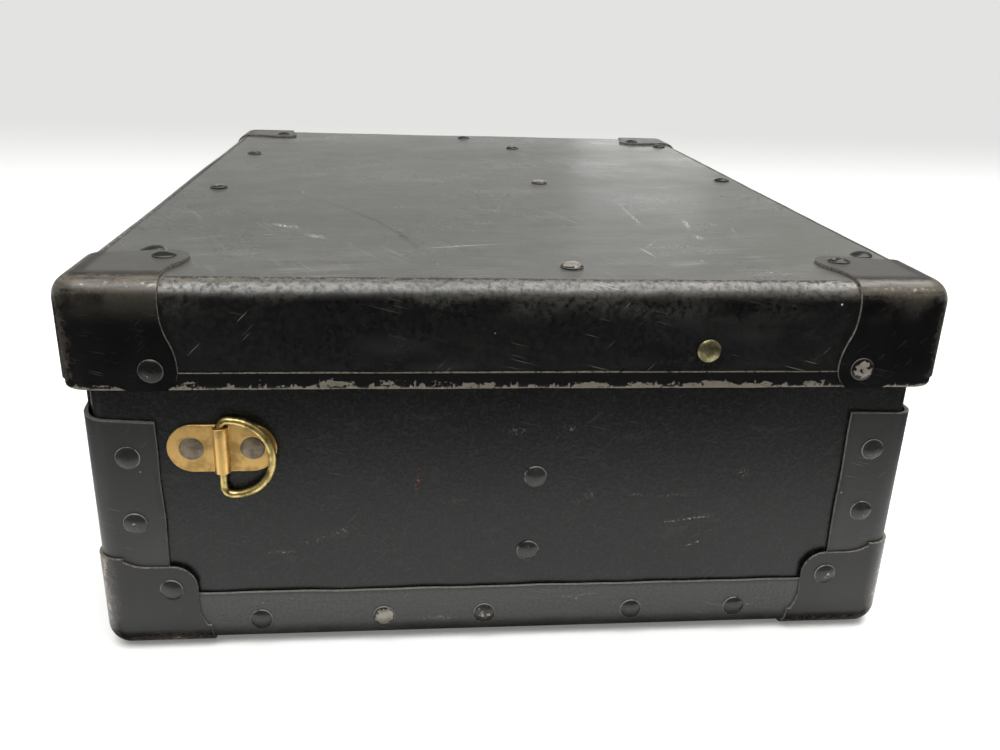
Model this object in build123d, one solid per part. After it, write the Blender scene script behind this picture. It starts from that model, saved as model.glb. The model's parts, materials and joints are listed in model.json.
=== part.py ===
"""Instrument carrying case in black vulcanised fibre, with a hinged telescoping lid.

Frame: origin at the bottom centre, +Z up, +Y along the long side.  The end with the
brass lid rivet faces -Y, the handle and catches are on -X and the hinges on +X.
All sizes are in millimetres.
"""

from build123d import *
import os
from math import cos, radians, sin

os.makedirs("parts", exist_ok=True)

# ---- driving dimensions -------------------------------------------------------------

# case as a whole, over the lid's corner caps
case_width = 344.0
case_length = 458.0
case_height = 161.7

# sheet stock
fibre_t = 2.2            # walls of lid and body
strip_t = 1.6            # bent reinforcing strips
cap_t = 1.2              # pressed steel corners
band_t = 0.5             # folded steel rim band
leaf_t = 1.4             # hinge, catch and hook plates
free_gap = 0.3           # running gap between pieces that pass each other

# lid
lid_depth = 43.1         # top of caps to rim
lid_corner_r = 10.0      # upright corners of the fibre shell
lid_roll_r = 8.0         # rolled top edge of the fibre shell
band_height = 7.0        # outer leg of the rim band
band_inner_height = 5.0  # leg of the band inside the rim

# lid caps: one lobe on each face, over the rivet
lobe_centre = 35.0       # rivet from both outer faces
lobe_r = 9.5
lid_cap_neck = 39.5      # reach along the rolled edges

# body
body_end_inset = 5.0     # strip face behind the lid cap's end face
body_strip_inset = 4.8   # strip face behind the lid cap's side face
bend_r = 9.0             # outside bend of the strips
corner_strip_leaf = 28.0
corner_strip_drop = 13.8     # top end below the lid's rim
corner_strip_tuck = 6.8      # lower end under the bottom cap
bottom_strip_leaf = 25.0
end_strip_tuck = 11.4        # ends of the near and far strips under the caps
side_strip_tuck = 28.6       # ends of the left and right strips under the caps
flange_len = 22.0        # end panel's bent-in edges

# bottom caps: straight leaves that flare at the bends
bottom_cap_reach = 39.8
bottom_cap_flare = 44.0
bottom_cap_flare_at = 4.5    # the flare's straight part, from the corner
bottom_cap_flare_len = 16.0
bottom_cap_round = 10.0
bottom_cap_rivet = 29.5

# rivets
head_r = 5.0
head_h = 1.7
head_edge = 0.5          # upright rim under the dome
shank_r = 1.9
hole_gap = 0.05
tail_r = 3.0
tail_h = 0.8
small_head_r = 3.6
small_head_h = 1.3
under_head_h = 1.0       # under the base, clear of the ground
drill_over = 0.5         # holes cut this far past both faces

# wooden battens under the lid and on the body's ends
batten_t = 8.0
side_batten_w = 30.0
side_batten_clear = 8.6      # from the inside of the lid's long walls
cross_batten_w = 34.0
cross_batten_clear = 1.6     # from the inside of the lid's end walls
roll_clear = 0.8             # chamfer of the cross battens past the rolled edge
centre_batten_x = 36.5
centre_batten_w = 28.0
end_batten_w = 28.0
end_batten_x = 8.4
end_batten_low = 28.0
end_batten_drop = 22.6       # top below the lid's rim
batten_rest_gap = 0.3    # lid battens above the body's top edge

# rivet rows in the lid's top, set out by hand: distances from the case's sides, from
# its near and far ends, and from its middle
left_row_inset = 27.0
left_row_near = 49.5
left_row_middle = -35.0
left_row_far = 133.0
right_row_inset = 17.4
right_row_near = 51.0
right_row_middle = 17.0
right_row_far = 54.0
centre_row_x = 36.0
centre_row_middle = -3.0
centre_row_far = 80.5
cross_rivet_near_x = 22.8
cross_rivet_near = 27.3
cross_rivet_far_x = 2.8
cross_rivet_far = 26.0
brass_rivet_x = 74.2
brass_rivet_rise = 15.4      # above the rim

# rivet rows in the body
corner_rivet_end_inset = 16.7    # on the end leaf, from the strip's side face
corner_rivet_side_inset = 17.0   # on the side leaf, from the strip's end face
corner_rivet_low = 27.0          # above the strip's lower end
corner_rivet_high = 15.8         # below its top end
end_row_left = 36.1              # outer rivets, from the ends of the near and far strips
end_row_right = 40.1
end_row_inner = (-53.0, -10.3, 53.8)
side_row_count = 5
side_row_inset = 64.0            # outer rivets, from the ends of the side strips
bottom_row_z = 13.4
under_row_inset = 15.0           # rows under the base, from the strips' faces
end_rivet_stray = 0.9            # the two end rivets, off the batten's middle
end_rivet_high = 18.3            # below the batten's top
end_rivet_low = 14.9             # above its lower end

# strap rings and their brass saddle plates
ring_inset = 52.5        # from the strips' side face
ring_plate_drop = 26.3   # below the rim
ring_plate_len = 42.0
ring_plate_h = 20.0
ring_plate_t = 1.2
ring_barrel_len = 19.2
ring_rivet_off = 11.7
ring_wire_r = 1.5
ring_wire_gap = 0.3
ring_bar_lift = 2.4      # wire centre above the wall
ring_outer_h = 34.7
ring_corner_r = 3.2
ring_straight = 0.5
ring_drop = 3.4          # slack taken up by gravity
ring_tilt = 4.0          # stands this far off the wall at rest

# hinges on +X
hinge_inset = 99.0       # hinges' middles from the case's ends
hinge_len = 50.0
hinge_pin_r = 1.95
hinge_bore_gap = 0.05
knuckle_r = 3.4
knuckle_drop = 1.4       # pin centre below the rim
centre_knuckle = 17.4
hinge_body_drop = 41.2   # leaves' ends below and above the pin
hinge_lid_rise = 32.8
hinge_lid_lift = 1.0     # lid leaf's plate above the knuckles
hinge_rivet_off = 16.0   # from the hinge's middle
hinge_body_rivet = 12.0  # from the leaves' ends
hinge_lid_rivet = 9.0
pin_head_r = 2.8
pin_head_t = 1.0

# carrying handle on -X
handle_span = 112.0      # between the legs' centres
handle_below_rim = 34.6
handle_drop = 38.0
handle_rod_r = 3.0
handle_bend_r = 8.0
handle_end_bend_r = 4.0
grip_r = 7.5
grip_end_r = 6.1
grip_len = 88.0
lug_stand = 8.0          # rod centre off the wall
lug_r = 5.5
lug_w = 6.0
lug_plate = (22.0, 44.0)
lug_plate_t = 1.6
lug_plate_r = 5.0
lug_rivet_off = 14.0
lug_bore_gap = 0.08
pin_end_len = 11.0

# draw catches on -X
catch_inset = 94.0       # catches' middles from the case's ends
catch_plate = (28.0, 50.0)
catch_plate_r = 4.0
catch_plate_above = 8.0  # plate's top above the lever pin
catch_rivet_drop = 34.0  # rivet below the lever pin
catch_below_rim = 14.6   # lever pin below the rim
catch_stand = 4.8        # lever pin off the wall
catch_pin_r = 1.5
catch_ear_t = 1.6
lever_w = 22.0
lever_len = 36.0
lever_barrel_r = 2.8
lever_lip = 4.0
lever_lip_t = 1.0
lever_bore_gap = 0.08
loop_drop = 9.0          # loop pivot below the lever pin
loop_stand = 3.9         # loop pivot outside the lever pin
loop_wire_r = 1.25
loop_barrel_r = 2.5
loop_web_t = 2.0
loop_half_w = 16.5
loop_len = 34.0
loop_corner_r = 4.0
hook_plate = (28.0, 26.0)
hook_plate_lift = 2.0    # plate's lower edge above the rim
hook_rivet_off = 8.0
hook_rivet_edge = 5.6    # below the plate's top
hook_rise = 8.4          # hook above the rim
hook_w = 20.0
hook_out = 4.6
hook_up = 5.0

# ---- derived planes -----------------------------------------------------------------

half_w = case_width / 2
half_l = case_length / 2
rim_z = case_height - lid_depth
lid_x = half_w - cap_t
lid_y = half_l - cap_t
lid_top = case_height - cap_t
ceiling_z = lid_top - fibre_t
strip_x = half_w - body_strip_inset
strip_y = half_l - body_end_inset
wall_x = strip_x - strip_t
wall_y = strip_y - strip_t
cap_x = strip_x + cap_t
cap_y = strip_y + cap_t
strip_z = cap_t
base_z = strip_z + strip_t
floor_z = base_z + fibre_t
tray_bend = bend_r - strip_t
pan_bend = tray_bend - fibre_t
batten_z = ceiling_z - batten_t
body_top = batten_z - batten_rest_gap
tray_y = wall_y - tray_bend
corner_strip_top = rim_z - corner_strip_drop
corner_strip_bottom = bottom_cap_reach - corner_strip_tuck
end_strip_x = cap_x - bottom_cap_reach + end_strip_tuck
side_strip_y = cap_y - bottom_cap_reach + side_strip_tuck
side_batten_x = lid_x - fibre_t - side_batten_clear
cross_batten_y = lid_y - fibre_t - cross_batten_clear
end_batten_top = rim_z - end_batten_drop
hinge_x = lid_x + band_t + knuckle_r
hinge_y = half_l - hinge_inset
hinge_z = rim_z - knuckle_drop
hinge_body_z = hinge_z - hinge_body_drop
hinge_lid_z = hinge_z + hinge_lid_rise
handle_z = rim_z - handle_below_rim
ring_x = ring_inset - strip_x
ring_plate_z = rim_z - ring_plate_drop
catch_pivot_z = rim_z - catch_below_rim
catch_y = half_l - catch_inset
hook_plate_z = rim_z + hook_plate_lift
hook_z = rim_z + hook_rise

NEAR, FAR, LEFT, RIGHT = -1, 1, -1, 1


# ---- small tools --------------------------------------------------------------------

def save(name, *solids):
    """Write one node, a single solid or a group of alike ones."""
    shape = solids[0] if len(solids) == 1 else Compound(children=list(solids))
    export_step(shape, f"parts/{name}.step")


def block(x0, x1, y0, y1, z0, z1):
    """Box between two corners."""
    return Pos((x0 + x1) / 2, (y0 + y1) / 2, (z0 + z1) / 2) * Box(x1 - x0, y1 - y0, z1 - z0)


def rod(centre, axis, radius, length):
    """Cylinder about a centre along an axis."""
    return Plane(origin=centre, z_dir=axis).location * Cylinder(radius, length)


def at_corners(shape):
    """The near-left piece and its mirror images, by corner name."""
    right = shape.mirror(Plane.YZ)
    return {
        "near_left": shape,
        "near_right": right,
        "far_left": shape.mirror(Plane.XZ),
        "far_right": right.mirror(Plane.XZ),
    }


def rolled_box(half_x, half_y, z0, z1, corner_r, roll_r):
    """Box with rounded upright corners and a rolled top edge."""
    box = block(-half_x, half_x, -half_y, half_y, z0, z1)
    box = fillet(box.edges().filter_by(Axis.Z), corner_r)
    return fillet(box.faces().sort_by(Axis.Z)[-1].edges(), roll_r)


def rounded_prism(half_x, half_y, z0, z1, corner_r):
    """Upright prism with rounded corners."""
    box = block(-half_x, half_x, -half_y, half_y, z0, z1)
    return fillet(box.edges().filter_by(Axis.Z), corner_r)


# ---- rivets -------------------------------------------------------------------------

class Rivet:
    """A rivet seat: point on the outer face, outward direction and grip length."""

    def __init__(self, point, out, grip, size=head_r, rise=head_h):
        self.plane = Plane(origin=point, z_dir=out)
        self.grip = grip
        self.size = size
        self.rise = rise

    def solid(self):
        dome = TangentArc((0, 0, self.rise), (self.size, 0, head_edge), tangent=(1, 0, 0))
        rest = Polyline(
            (self.size, 0, head_edge), (self.size, 0, 0), (shank_r, 0, 0),
            (shank_r, 0, -self.grip), (tail_r, 0, -self.grip),
            (tail_r, 0, -self.grip - tail_h), (0, 0, -self.grip - tail_h), (0, 0, self.rise))
        return self.plane.location * revolve(make_face(Wire([dome] + rest.edges())), Axis.Z)

    def drill(self):
        hole = Cylinder(shank_r + hole_gap, self.grip + 2 * drill_over)
        return self.plane.location * Pos(0, 0, -self.grip / 2) * hole


def drilled(shape, rivets):
    """Cut the holes of those rivets that pass through the shape."""
    box = shape.bounding_box()
    tools = []
    for rivet in rivets:
        tool = rivet.drill()
        other = tool.bounding_box()
        apart = any(
            a > b for a, b in (
                (box.min.X, other.max.X), (other.min.X, box.max.X),
                (box.min.Y, other.max.Y), (other.min.Y, box.max.Y),
                (box.min.Z, other.max.Z), (other.min.Z, box.max.Z)))
        if not apart:
            tools.append(tool)
    return shape - tools if tools else shape


lid_wood_grip = fibre_t + batten_t

lid_cap_rivets = []
for sx in (LEFT, RIGHT):
    for sy in (NEAR, FAR):
        cx = sx * (half_w - lobe_centre)
        cy = sy * (half_l - lobe_centre)
        cz = case_height - lobe_centre
        lid_cap_rivets += [
            Rivet((cx, sy * half_l, cz), (0, sy, 0), cap_t + fibre_t),
            Rivet((sx * half_w, cy, cz), (sx, 0, 0), cap_t + fibre_t),
            Rivet((cx, cy, case_height), (0, 0, 1), cap_t + lid_wood_grip),
        ]

left_row_x = left_row_inset - half_w
right_row_x = half_w - right_row_inset
lid_top_points = [
    (left_row_x, left_row_near - half_l),
    (left_row_x, left_row_middle),
    (left_row_x, half_l - left_row_far),
    (right_row_x, right_row_near - half_l),
    (right_row_x, right_row_middle),
    (right_row_x, half_l - right_row_far),
    (centre_row_x, centre_row_middle),
    (centre_row_x, half_l - centre_row_far),
    (cross_rivet_near_x, cross_rivet_near - half_l),
    (cross_rivet_far_x, half_l - cross_rivet_far),
]
lid_top_rivets = [Rivet((x, y, lid_top), (0, 0, 1), lid_wood_grip) for x, y in lid_top_points]
lid_brass_rivet = Rivet((brass_rivet_x, -lid_y, rim_z + brass_rivet_rise), (0, -1, 0), fibre_t)

end_row_x = (end_row_left - end_strip_x, *end_row_inner, end_strip_x - end_row_right)
side_row_half = side_strip_y - side_row_inset
side_row_y = [side_row_half * (2 * i / (side_row_count - 1) - 1) for i in range(side_row_count)]
end_rivets = ((end_batten_x + end_rivet_stray, end_batten_top - end_rivet_high),
              (end_batten_x - end_rivet_stray, end_batten_low + end_rivet_low))

corner_strip_rivets = []
bottom_strip_rivets = []
bottom_cap_rivets = []
end_panel_rivets = []
for sy in (NEAR, FAR):
    for sx in (LEFT, RIGHT):
        end_x = sx * (strip_x - corner_rivet_end_inset)
        side_y = sy * (strip_y - corner_rivet_side_inset)
        for z in (corner_strip_bottom + corner_rivet_low, corner_strip_top - corner_rivet_high):
            corner_strip_rivets += [
                Rivet((end_x, sy * strip_y, z), (0, sy, 0), strip_t + fibre_t),
                Rivet((sx * strip_x, side_y, z), (sx, 0, 0), strip_t + 2 * fibre_t),
            ]
        cx = sx * (cap_x - bottom_cap_rivet)
        cy = sy * (cap_y - bottom_cap_rivet)
        grip = cap_t + strip_t + fibre_t
        bottom_cap_rivets += [
            Rivet((cx, sy * cap_y, bottom_cap_rivet), (0, sy, 0), grip),
            Rivet((sx * cap_x, cy, bottom_cap_rivet), (sx, 0, 0), grip),
        ]
    for x in end_row_x:
        bottom_strip_rivets += [
            Rivet((x, sy * strip_y, bottom_row_z), (0, sy, 0), strip_t + fibre_t),
            Rivet((x, sy * (strip_y - under_row_inset), strip_z), (0, 0, -1),
                  strip_t + 2 * fibre_t, rise=under_head_h),
        ]
    end_panel_rivets += [
        Rivet((x, sy * wall_y, z), (0, sy, 0), fibre_t + batten_t) for x, z in end_rivets]
for sx in (LEFT, RIGHT):
    for y in side_row_y:
        bottom_strip_rivets += [
            Rivet((sx * strip_x, y, bottom_row_z), (sx, 0, 0), strip_t + fibre_t),
            Rivet((sx * (strip_x - under_row_inset), y, strip_z), (0, 0, -1),
                  strip_t + fibre_t, rise=under_head_h),
        ]


# ---- lid ----------------------------------------------------------------------------

def make_lid_shell():
    fibre_bottom = rim_z + band_t
    outer = rolled_box(lid_x, lid_y, fibre_bottom, lid_top, lid_corner_r, lid_roll_r)
    inner = rolled_box(lid_x - fibre_t, lid_y - fibre_t, rim_z, ceiling_z,
                       lid_corner_r - fibre_t, lid_roll_r - fibre_t)
    return outer - inner


def make_rim_band():
    """Folded U of sheet steel over the lid's lower edge."""
    inside_x, inside_y = lid_x - fibre_t, lid_y - fibre_t
    inner_r = lid_corner_r - fibre_t
    outer_leg = rounded_prism(lid_x + band_t, lid_y + band_t, rim_z, rim_z + band_height,
                              lid_corner_r + band_t)
    outer_leg -= rounded_prism(lid_x, lid_y, rim_z + band_t, rim_z + band_height, lid_corner_r)
    inner_leg = rounded_prism(inside_x, inside_y, rim_z, rim_z + band_inner_height, inner_r)
    opening = rounded_prism(inside_x - band_t, inside_y - band_t, rim_z, rim_z + band_height,
                            inner_r - band_t)
    fibre = rounded_prism(lid_x, lid_y, rim_z + band_t, rim_z + band_height, lid_corner_r)
    fibre -= rounded_prism(inside_x, inside_y, rim_z + band_t, rim_z + band_height, inner_r)
    return outer_leg + inner_leg - opening - fibre


def corner_shell(size, thickness, upright_r, edge_r):
    """Hollow corner at the origin, material towards +X, +Y and +Z."""

    def solid(offset, upright, edge):
        box = block(offset, size, offset, size, offset, size)
        line = [e for e in box.edges().filter_by(Axis.Z)
                if abs(e.center().X - offset) < 0.01 and abs(e.center().Y - offset) < 0.01]
        if upright == edge:
            low = [e for e in box.edges() if abs(e.center().Z - offset) < 0.01
                   and (abs(e.center().X - offset) < 0.01 or abs(e.center().Y - offset) < 0.01)]
            return fillet(line + low, edge)
        box = fillet(line, upright)
        low = [e for e in box.edges() if abs(e.center().Z - offset) < 0.01
               and e.center().X < size - 0.5 and e.center().Y < size - 0.5]
        return fillet(low, edge)

    return solid(0, upright_r, edge_r) - solid(thickness, upright_r - thickness,
                                               edge_r - thickness)


def s_curve(start, end):
    """Two equal arcs that leave and arrive parallel to the first direction."""
    middle = ((start[0] + end[0]) / 2, (start[1] + end[1]) / 2)
    along = (0, 1) if abs(end[1] - start[1]) > abs(end[0] - start[0]) else (1, 0)
    if along == (1, 0) and end[0] < start[0]:
        along = (-1, 0)
    first = TangentArc(start, middle, tangent=along)
    second = TangentArc(end, middle, tangent=(-along[0], -along[1]))
    return [first, second]


def lobed_outline(slab):
    """Leaf of a lid cap: two necks and a round lobe at the inner corner."""
    neck, c, r = lid_cap_neck, lobe_centre, lobe_r
    edges = [Line((0, 0), (neck, 0)), Line((neck, 0), (neck, slab))]
    edges += s_curve((neck, slab), (c + r, c))
    edges.append(ThreePointArc((c + r, c), (c + r * cos(radians(45)), c + r * sin(radians(45))),
                               (c, c + r)))
    edges += s_curve((c, c + r), (slab, neck))
    edges += [Line((slab, neck), (0, neck)), Line((0, neck), (0, 0))]
    return make_face(Wire(edges))


def flared_outline(slab):
    """Leaf of a bottom cap: straight edges that flare where they reach the bends."""
    flare, reach, r = bottom_cap_flare, bottom_cap_reach, bottom_cap_round
    start = bottom_cap_flare_at
    end = start + bottom_cap_flare_len
    edges = [Line((0, 0), (flare, 0)), Line((flare, 0), (flare, start))]
    edges += s_curve((flare, start), (reach, end))
    edges.append(Line((reach, end), (reach, reach - r)))
    edges.append(ThreePointArc((reach, reach - r),
                               (reach - r + r * cos(radians(45)),
                                reach - r + r * sin(radians(45))),
                               (reach - r, reach)))
    edges.append(Line((reach - r, reach), (end, reach)))
    edges += s_curve((end, reach), (start, flare))
    edges += [Line((start, flare), (0, flare)), Line((0, flare), (0, 0))]
    return make_face(Wire(edges))


def three_leaves(outline, slab):
    """The same outline on the three faces of a corner, each as thick as the bend."""
    flat = extrude(outline, slab)
    if flat.bounding_box().min.Z < -0.01:
        flat = Pos(0, 0, slab) * flat
    end = flat.rotate(Axis.X, 90).mirror(Plane.XZ)
    side = flat.rotate(Axis.Y, -90).mirror(Plane.YZ)
    return flat, end, side


def make_lid_cap(band):
    """Near-left cap, built upside down at the origin and turned into place."""
    slab = lid_corner_r + 2 * cap_t
    size = lid_depth + slab
    shell = corner_shell(size, cap_t, lid_corner_r + cap_t, lid_roll_r + cap_t)
    flat, end, side = three_leaves(lobed_outline(slab), slab)
    region = (flat + end + side) & block(0, size, 0, size, 0, lid_depth)
    cap = (shell & region).mirror(Plane.XY)
    cap = Pos(-half_w, -half_l, case_height) * cap
    return cap - band


# ---- body ---------------------------------------------------------------------------

def make_tray():
    """Base and both long walls, one sheet bent to a U."""
    outer = block(-wall_x, wall_x, -tray_y, tray_y, base_z, body_top)
    inner = block(-wall_x + fibre_t, wall_x - fibre_t, -tray_y, tray_y, floor_z, body_top)
    outer = fillet(outer.edges().filter_by(Axis.Y).sort_by(Axis.Z)[:2], tray_bend)
    inner = fillet(inner.edges().filter_by(Axis.Y).sort_by(Axis.Z)[:2], pan_bend)
    return outer - inner


def make_end_panel():
    """Near end: a moulded panel with three flanges that lie inside the tray."""

    def pan(offset, bend):
        x = wall_x - fibre_t - offset
        y0 = -wall_y + offset
        z0 = floor_z + offset
        box = block(-x, x, y0, -wall_y + flange_len, z0, body_top)
        low = box.edges().filter_by(Axis.Y).sort_by(Axis.Z)[:2]
        front = [e for e in box.faces().sort_by(Axis.Y)[0].edges()
                 if e.center().Z < body_top - 0.01]
        return fillet(low + front, bend)

    return pan(0, pan_bend) - pan(fibre_t, pan_bend - fibre_t)


def angle_profile(leaf, thickness, bend):
    """L section with its outer faces on the two axes."""
    inner = bend - thickness
    mid = 1 - cos(radians(45))
    edges = [
        Line((leaf, 0), (bend, 0)),
        ThreePointArc((bend, 0), (bend * mid, bend * mid), (0, bend)),
        Line((0, bend), (0, leaf)),
        Line((0, leaf), (thickness, leaf)),
        Line((thickness, leaf), (thickness, bend)),
        ThreePointArc((thickness, bend), (thickness + inner * mid, thickness + inner * mid),
                      (bend, thickness)),
        Line((bend, thickness), (leaf, thickness)),
        Line((leaf, thickness), (leaf, 0)),
    ]
    return make_face(Wire(edges))


def make_corner_strip():
    profile = angle_profile(corner_strip_leaf, strip_t, bend_r)
    strip = extrude(profile, corner_strip_top - corner_strip_bottom)
    return Pos(-strip_x, -strip_y, corner_strip_bottom - strip.bounding_box().min.Z) * strip


def make_bottom_strips():
    """Near and left bottom strips."""
    profile = angle_profile(bottom_strip_leaf, strip_t, bend_r)
    end = extrude(Plane(origin=(-end_strip_x, -strip_y, strip_z), x_dir=(0, 1, 0),
                        z_dir=(1, 0, 0)) * profile, 2 * end_strip_x)
    side = extrude(Plane(origin=(-strip_x, side_strip_y, strip_z), x_dir=(1, 0, 0),
                         z_dir=(0, -1, 0)) * profile, 2 * side_strip_y)
    return end, side


def make_bottom_cap():
    slab = bend_r + 2 * cap_t
    size = bottom_cap_flare + slab
    shell = corner_shell(size, cap_t, bend_r + cap_t, bend_r + cap_t)
    flat, end, side = three_leaves(flared_outline(slab), slab)
    cap = shell & (flat + end + side)
    return Pos(-cap_x, -cap_y, 0) * cap


# ---- strap rings --------------------------------------------------------------------

def make_ring_plate():
    """Near plate: a round-ended strip pressed up over the ring's bar."""
    arch_in = ring_wire_r + ring_wire_gap
    arch_out = arch_in + ring_plate_t
    outline = RectangleRounded(ring_plate_len, ring_plate_h, ring_plate_h / 2 - 0.01)
    strip = Plane.XZ.location * Rot(180, 0, 0) * extrude(outline, -ring_plate_t)
    strip = Pos(0, -strip.bounding_box().max.Y, 0) * strip
    barrel = rod((0, -ring_bar_lift, 0), (0, 0, 1), arch_out, ring_barrel_len)
    barrel += block(-arch_out, arch_out, -ring_bar_lift, 0, -ring_barrel_len / 2,
                    ring_barrel_len / 2)
    tunnel = rod((0, -ring_bar_lift, 0), (0, 0, 1), arch_in, 2 * ring_barrel_len)
    tunnel += block(-arch_in, arch_in, -ring_bar_lift, arch_in, -ring_barrel_len,
                    ring_barrel_len)
    plate = strip + barrel - tunnel
    return Pos(ring_x, -wall_y, ring_plate_z) * plate


def wire_loop(edges, radius):
    """Round wire bent along a closed chain of lines and arcs."""
    path = Wire(edges)
    start = path @ 0
    section = Plane(origin=start, z_dir=path % 0) * Circle(radius)
    return sweep(section, path)


def make_d_ring():
    """Near ring in the XZ plane, bar on the Z axis, bow towards +X."""
    r = ring_corner_r
    top = ring_outer_h / 2 - ring_wire_r
    bow = r + ring_straight
    k = cos(radians(45))
    ring = wire_loop([
        Line((0, 0, -(top - r)), (0, 0, top - r)),
        ThreePointArc((0, 0, top - r), (r - r * k, 0, top - r + r * k), (r, 0, top)),
        Line((r, 0, top), (bow, 0, top)),
        ThreePointArc((bow, 0, top), (bow + top, 0, 0), (bow, 0, -top)),
        Line((bow, 0, -top), (r, 0, -top)),
        ThreePointArc((r, 0, -top), (r - r * k, 0, -(top - r + r * k)), (0, 0, -(top - r))),
    ], ring_wire_r)
    ring = ring.rotate(Axis.Z, -ring_tilt)
    return Pos(ring_x, -wall_y - ring_bar_lift, ring_plate_z - ring_drop) * ring


# ---- hinges -------------------------------------------------------------------------

def knuckle(y0, y1):
    return rod((hinge_x, (y0 + y1) / 2, hinge_z), (0, 1, 0), knuckle_r, y1 - y0)


def make_hinge():
    """Body leaf, lid leaf and pin of the hinge at +Y."""
    y0, y1 = hinge_y - hinge_len / 2, hinge_y + hinge_len / 2
    c0, c1 = hinge_y - centre_knuckle / 2, hinge_y + centre_knuckle / 2
    gap = free_gap
    bore = rod((hinge_x, hinge_y, hinge_z), (0, 1, 0), hinge_pin_r + hinge_bore_gap,
               2 * hinge_len)
    # cranked web from the wall plate to the underside of the knuckles, at 45 degrees
    reach = knuckle_r - leaf_t / 2
    touch_x = hinge_x + reach * sin(radians(45))
    touch_z = hinge_z - reach * cos(radians(45))
    run = touch_x - (wall_x + leaf_t / 2)
    half = leaf_t / 2 * cos(radians(45))
    low_x, low_z = touch_x - run, touch_z - run
    web = make_face(Polyline(
        (low_x - half, 0, low_z + half), (low_x + half, 0, low_z - half),
        (touch_x + half, 0, touch_z - half), (touch_x - half, 0, touch_z + half), close=True))
    web = extrude(web, hinge_len, dir=(0, 1, 0))
    web = Pos(0, y0 - web.bounding_box().min.Y, 0) * web
    body = block(wall_x, wall_x + leaf_t, y0, y1, hinge_body_z, low_z + half)
    body += web
    body -= rod((hinge_x, hinge_y, hinge_z), (0, 1, 0), knuckle_r + gap, centre_knuckle + 2 * gap)
    body += knuckle(y0, c0 - gap) + knuckle(c1 + gap, y1)
    body -= bore
    plate_x = lid_x + band_t
    plate_z = hinge_z + knuckle_r + hinge_lid_lift
    lid = block(plate_x, plate_x + leaf_t, y0, y1, plate_z, hinge_lid_z)
    lid += block(plate_x, plate_x + leaf_t, c0, c1, hinge_z, plate_z)
    lid += knuckle(c0, c1)
    lid -= bore
    pin = rod((hinge_x, hinge_y, hinge_z), (0, 1, 0), hinge_pin_r, hinge_len)
    for side in (-1, 1):
        y = hinge_y + side * (hinge_len + pin_head_t) / 2
        pin += rod((hinge_x, y, hinge_z), (0, 1, 0), pin_head_r, pin_head_t)
    return body, lid, pin


def hinge_rivets(side):
    out = (1, 0, 0)
    body, lid = [], []
    body_z = hinge_body_z + hinge_body_rivet
    lid_z = hinge_lid_z - hinge_lid_rivet
    for dy in (-hinge_rivet_off, hinge_rivet_off):
        y = side * hinge_y + dy
        body.append(Rivet((wall_x + leaf_t, y, body_z), out, leaf_t + fibre_t,
                          small_head_r, small_head_h))
        lid.append(Rivet((lid_x + band_t + leaf_t, y, lid_z), out, leaf_t + band_t + fibre_t,
                         small_head_r, small_head_h))
    return body, lid


# ---- handle -------------------------------------------------------------------------

handle_x = -wall_x - lug_stand
lug_y = handle_span / 2 + handle_end_bend_r + free_gap + lug_w / 2


def make_lug():
    """Lug at +Y: riveted plate with an eye for the bail's end."""
    y = lug_y
    width, height = lug_plate
    plate = block(-wall_x - lug_plate_t, -wall_x, y - width / 2, y + width / 2,
                  handle_z - height / 2, handle_z + height / 2)
    plate = fillet(plate.edges().filter_by(Axis.X), lug_plate_r)
    eye = rod((handle_x, y, handle_z), (0, 1, 0), lug_r, lug_w)
    eye += block(handle_x, -wall_x - lug_plate_t, y - lug_w / 2, y + lug_w / 2,
                 handle_z - lug_r, handle_z + lug_r)
    bore = rod((handle_x, y, handle_z), (0, 1, 0), handle_rod_r + lug_bore_gap, 2 * lug_w)
    return plate + eye - bore


def lug_rivets(side):
    return [Rivet((-wall_x - lug_plate_t, side * lug_y, handle_z + dz), (-1, 0, 0),
                  lug_plate_t + fibre_t, small_head_r, small_head_h)
            for dz in (-lug_rivet_off, lug_rivet_off)]


def make_bail():
    """Steel rod bent to a bail, hanging down, its ends turned out through the lugs."""
    y = handle_span / 2
    r = handle_bend_r
    end_r = handle_end_bend_r
    low = handle_z - handle_drop
    tip = y + pin_end_len
    k = cos(radians(45))

    def p(py, pz):
        return (handle_x, py, pz)

    edges = [
        Line(p(-tip, handle_z), p(-y - end_r, handle_z)),
        ThreePointArc(p(-y - end_r, handle_z),
                      p(-y - end_r + end_r * k, handle_z - end_r + end_r * k),
                      p(-y, handle_z - end_r)),
        Line(p(-y, handle_z - end_r), p(-y, low + r)),
        ThreePointArc(p(-y, low + r), p(-y + r - r * k, low + r - r * k), p(-y + r, low)),
        Line(p(-y + r, low), p(y - r, low)),
        ThreePointArc(p(y - r, low), p(y - r + r * k, low + r - r * k), p(y, low + r)),
        Line(p(y, low + r), p(y, handle_z - end_r)),
        ThreePointArc(p(y, handle_z - end_r), p(y + end_r - end_r * k, handle_z - end_r + end_r * k),
                      p(y + end_r, handle_z)),
        Line(p(y + end_r, handle_z), p(tip, handle_z)),
    ]
    path = Wire(edges)
    section = Plane(origin=path @ 0, z_dir=path % 0) * Circle(handle_rod_r)
    return sweep(section, path)


def make_grip():
    """Leather sleeve stitched round the bail's bottom bar, fuller in the middle."""
    low = handle_z - handle_drop
    half = grip_len / 2
    outline = make_face(Wire([
        Line((-half, 0), (-half, grip_end_r)),
        ThreePointArc((-half, grip_end_r), (0, grip_r), (half, grip_end_r)),
        Line((half, grip_end_r), (half, 0)),
        Line((half, 0), (-half, 0)),
    ]))
    sleeve = revolve(outline, Axis.X)
    sleeve -= rod((0, 0, 0), (1, 0, 0), handle_rod_r, 2 * grip_len)
    return Pos(handle_x, 0, low) * sleeve.rotate(Axis.Z, 90)


# ---- catches ------------------------------------------------------------------------

catch_x = -wall_x - catch_stand


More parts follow.
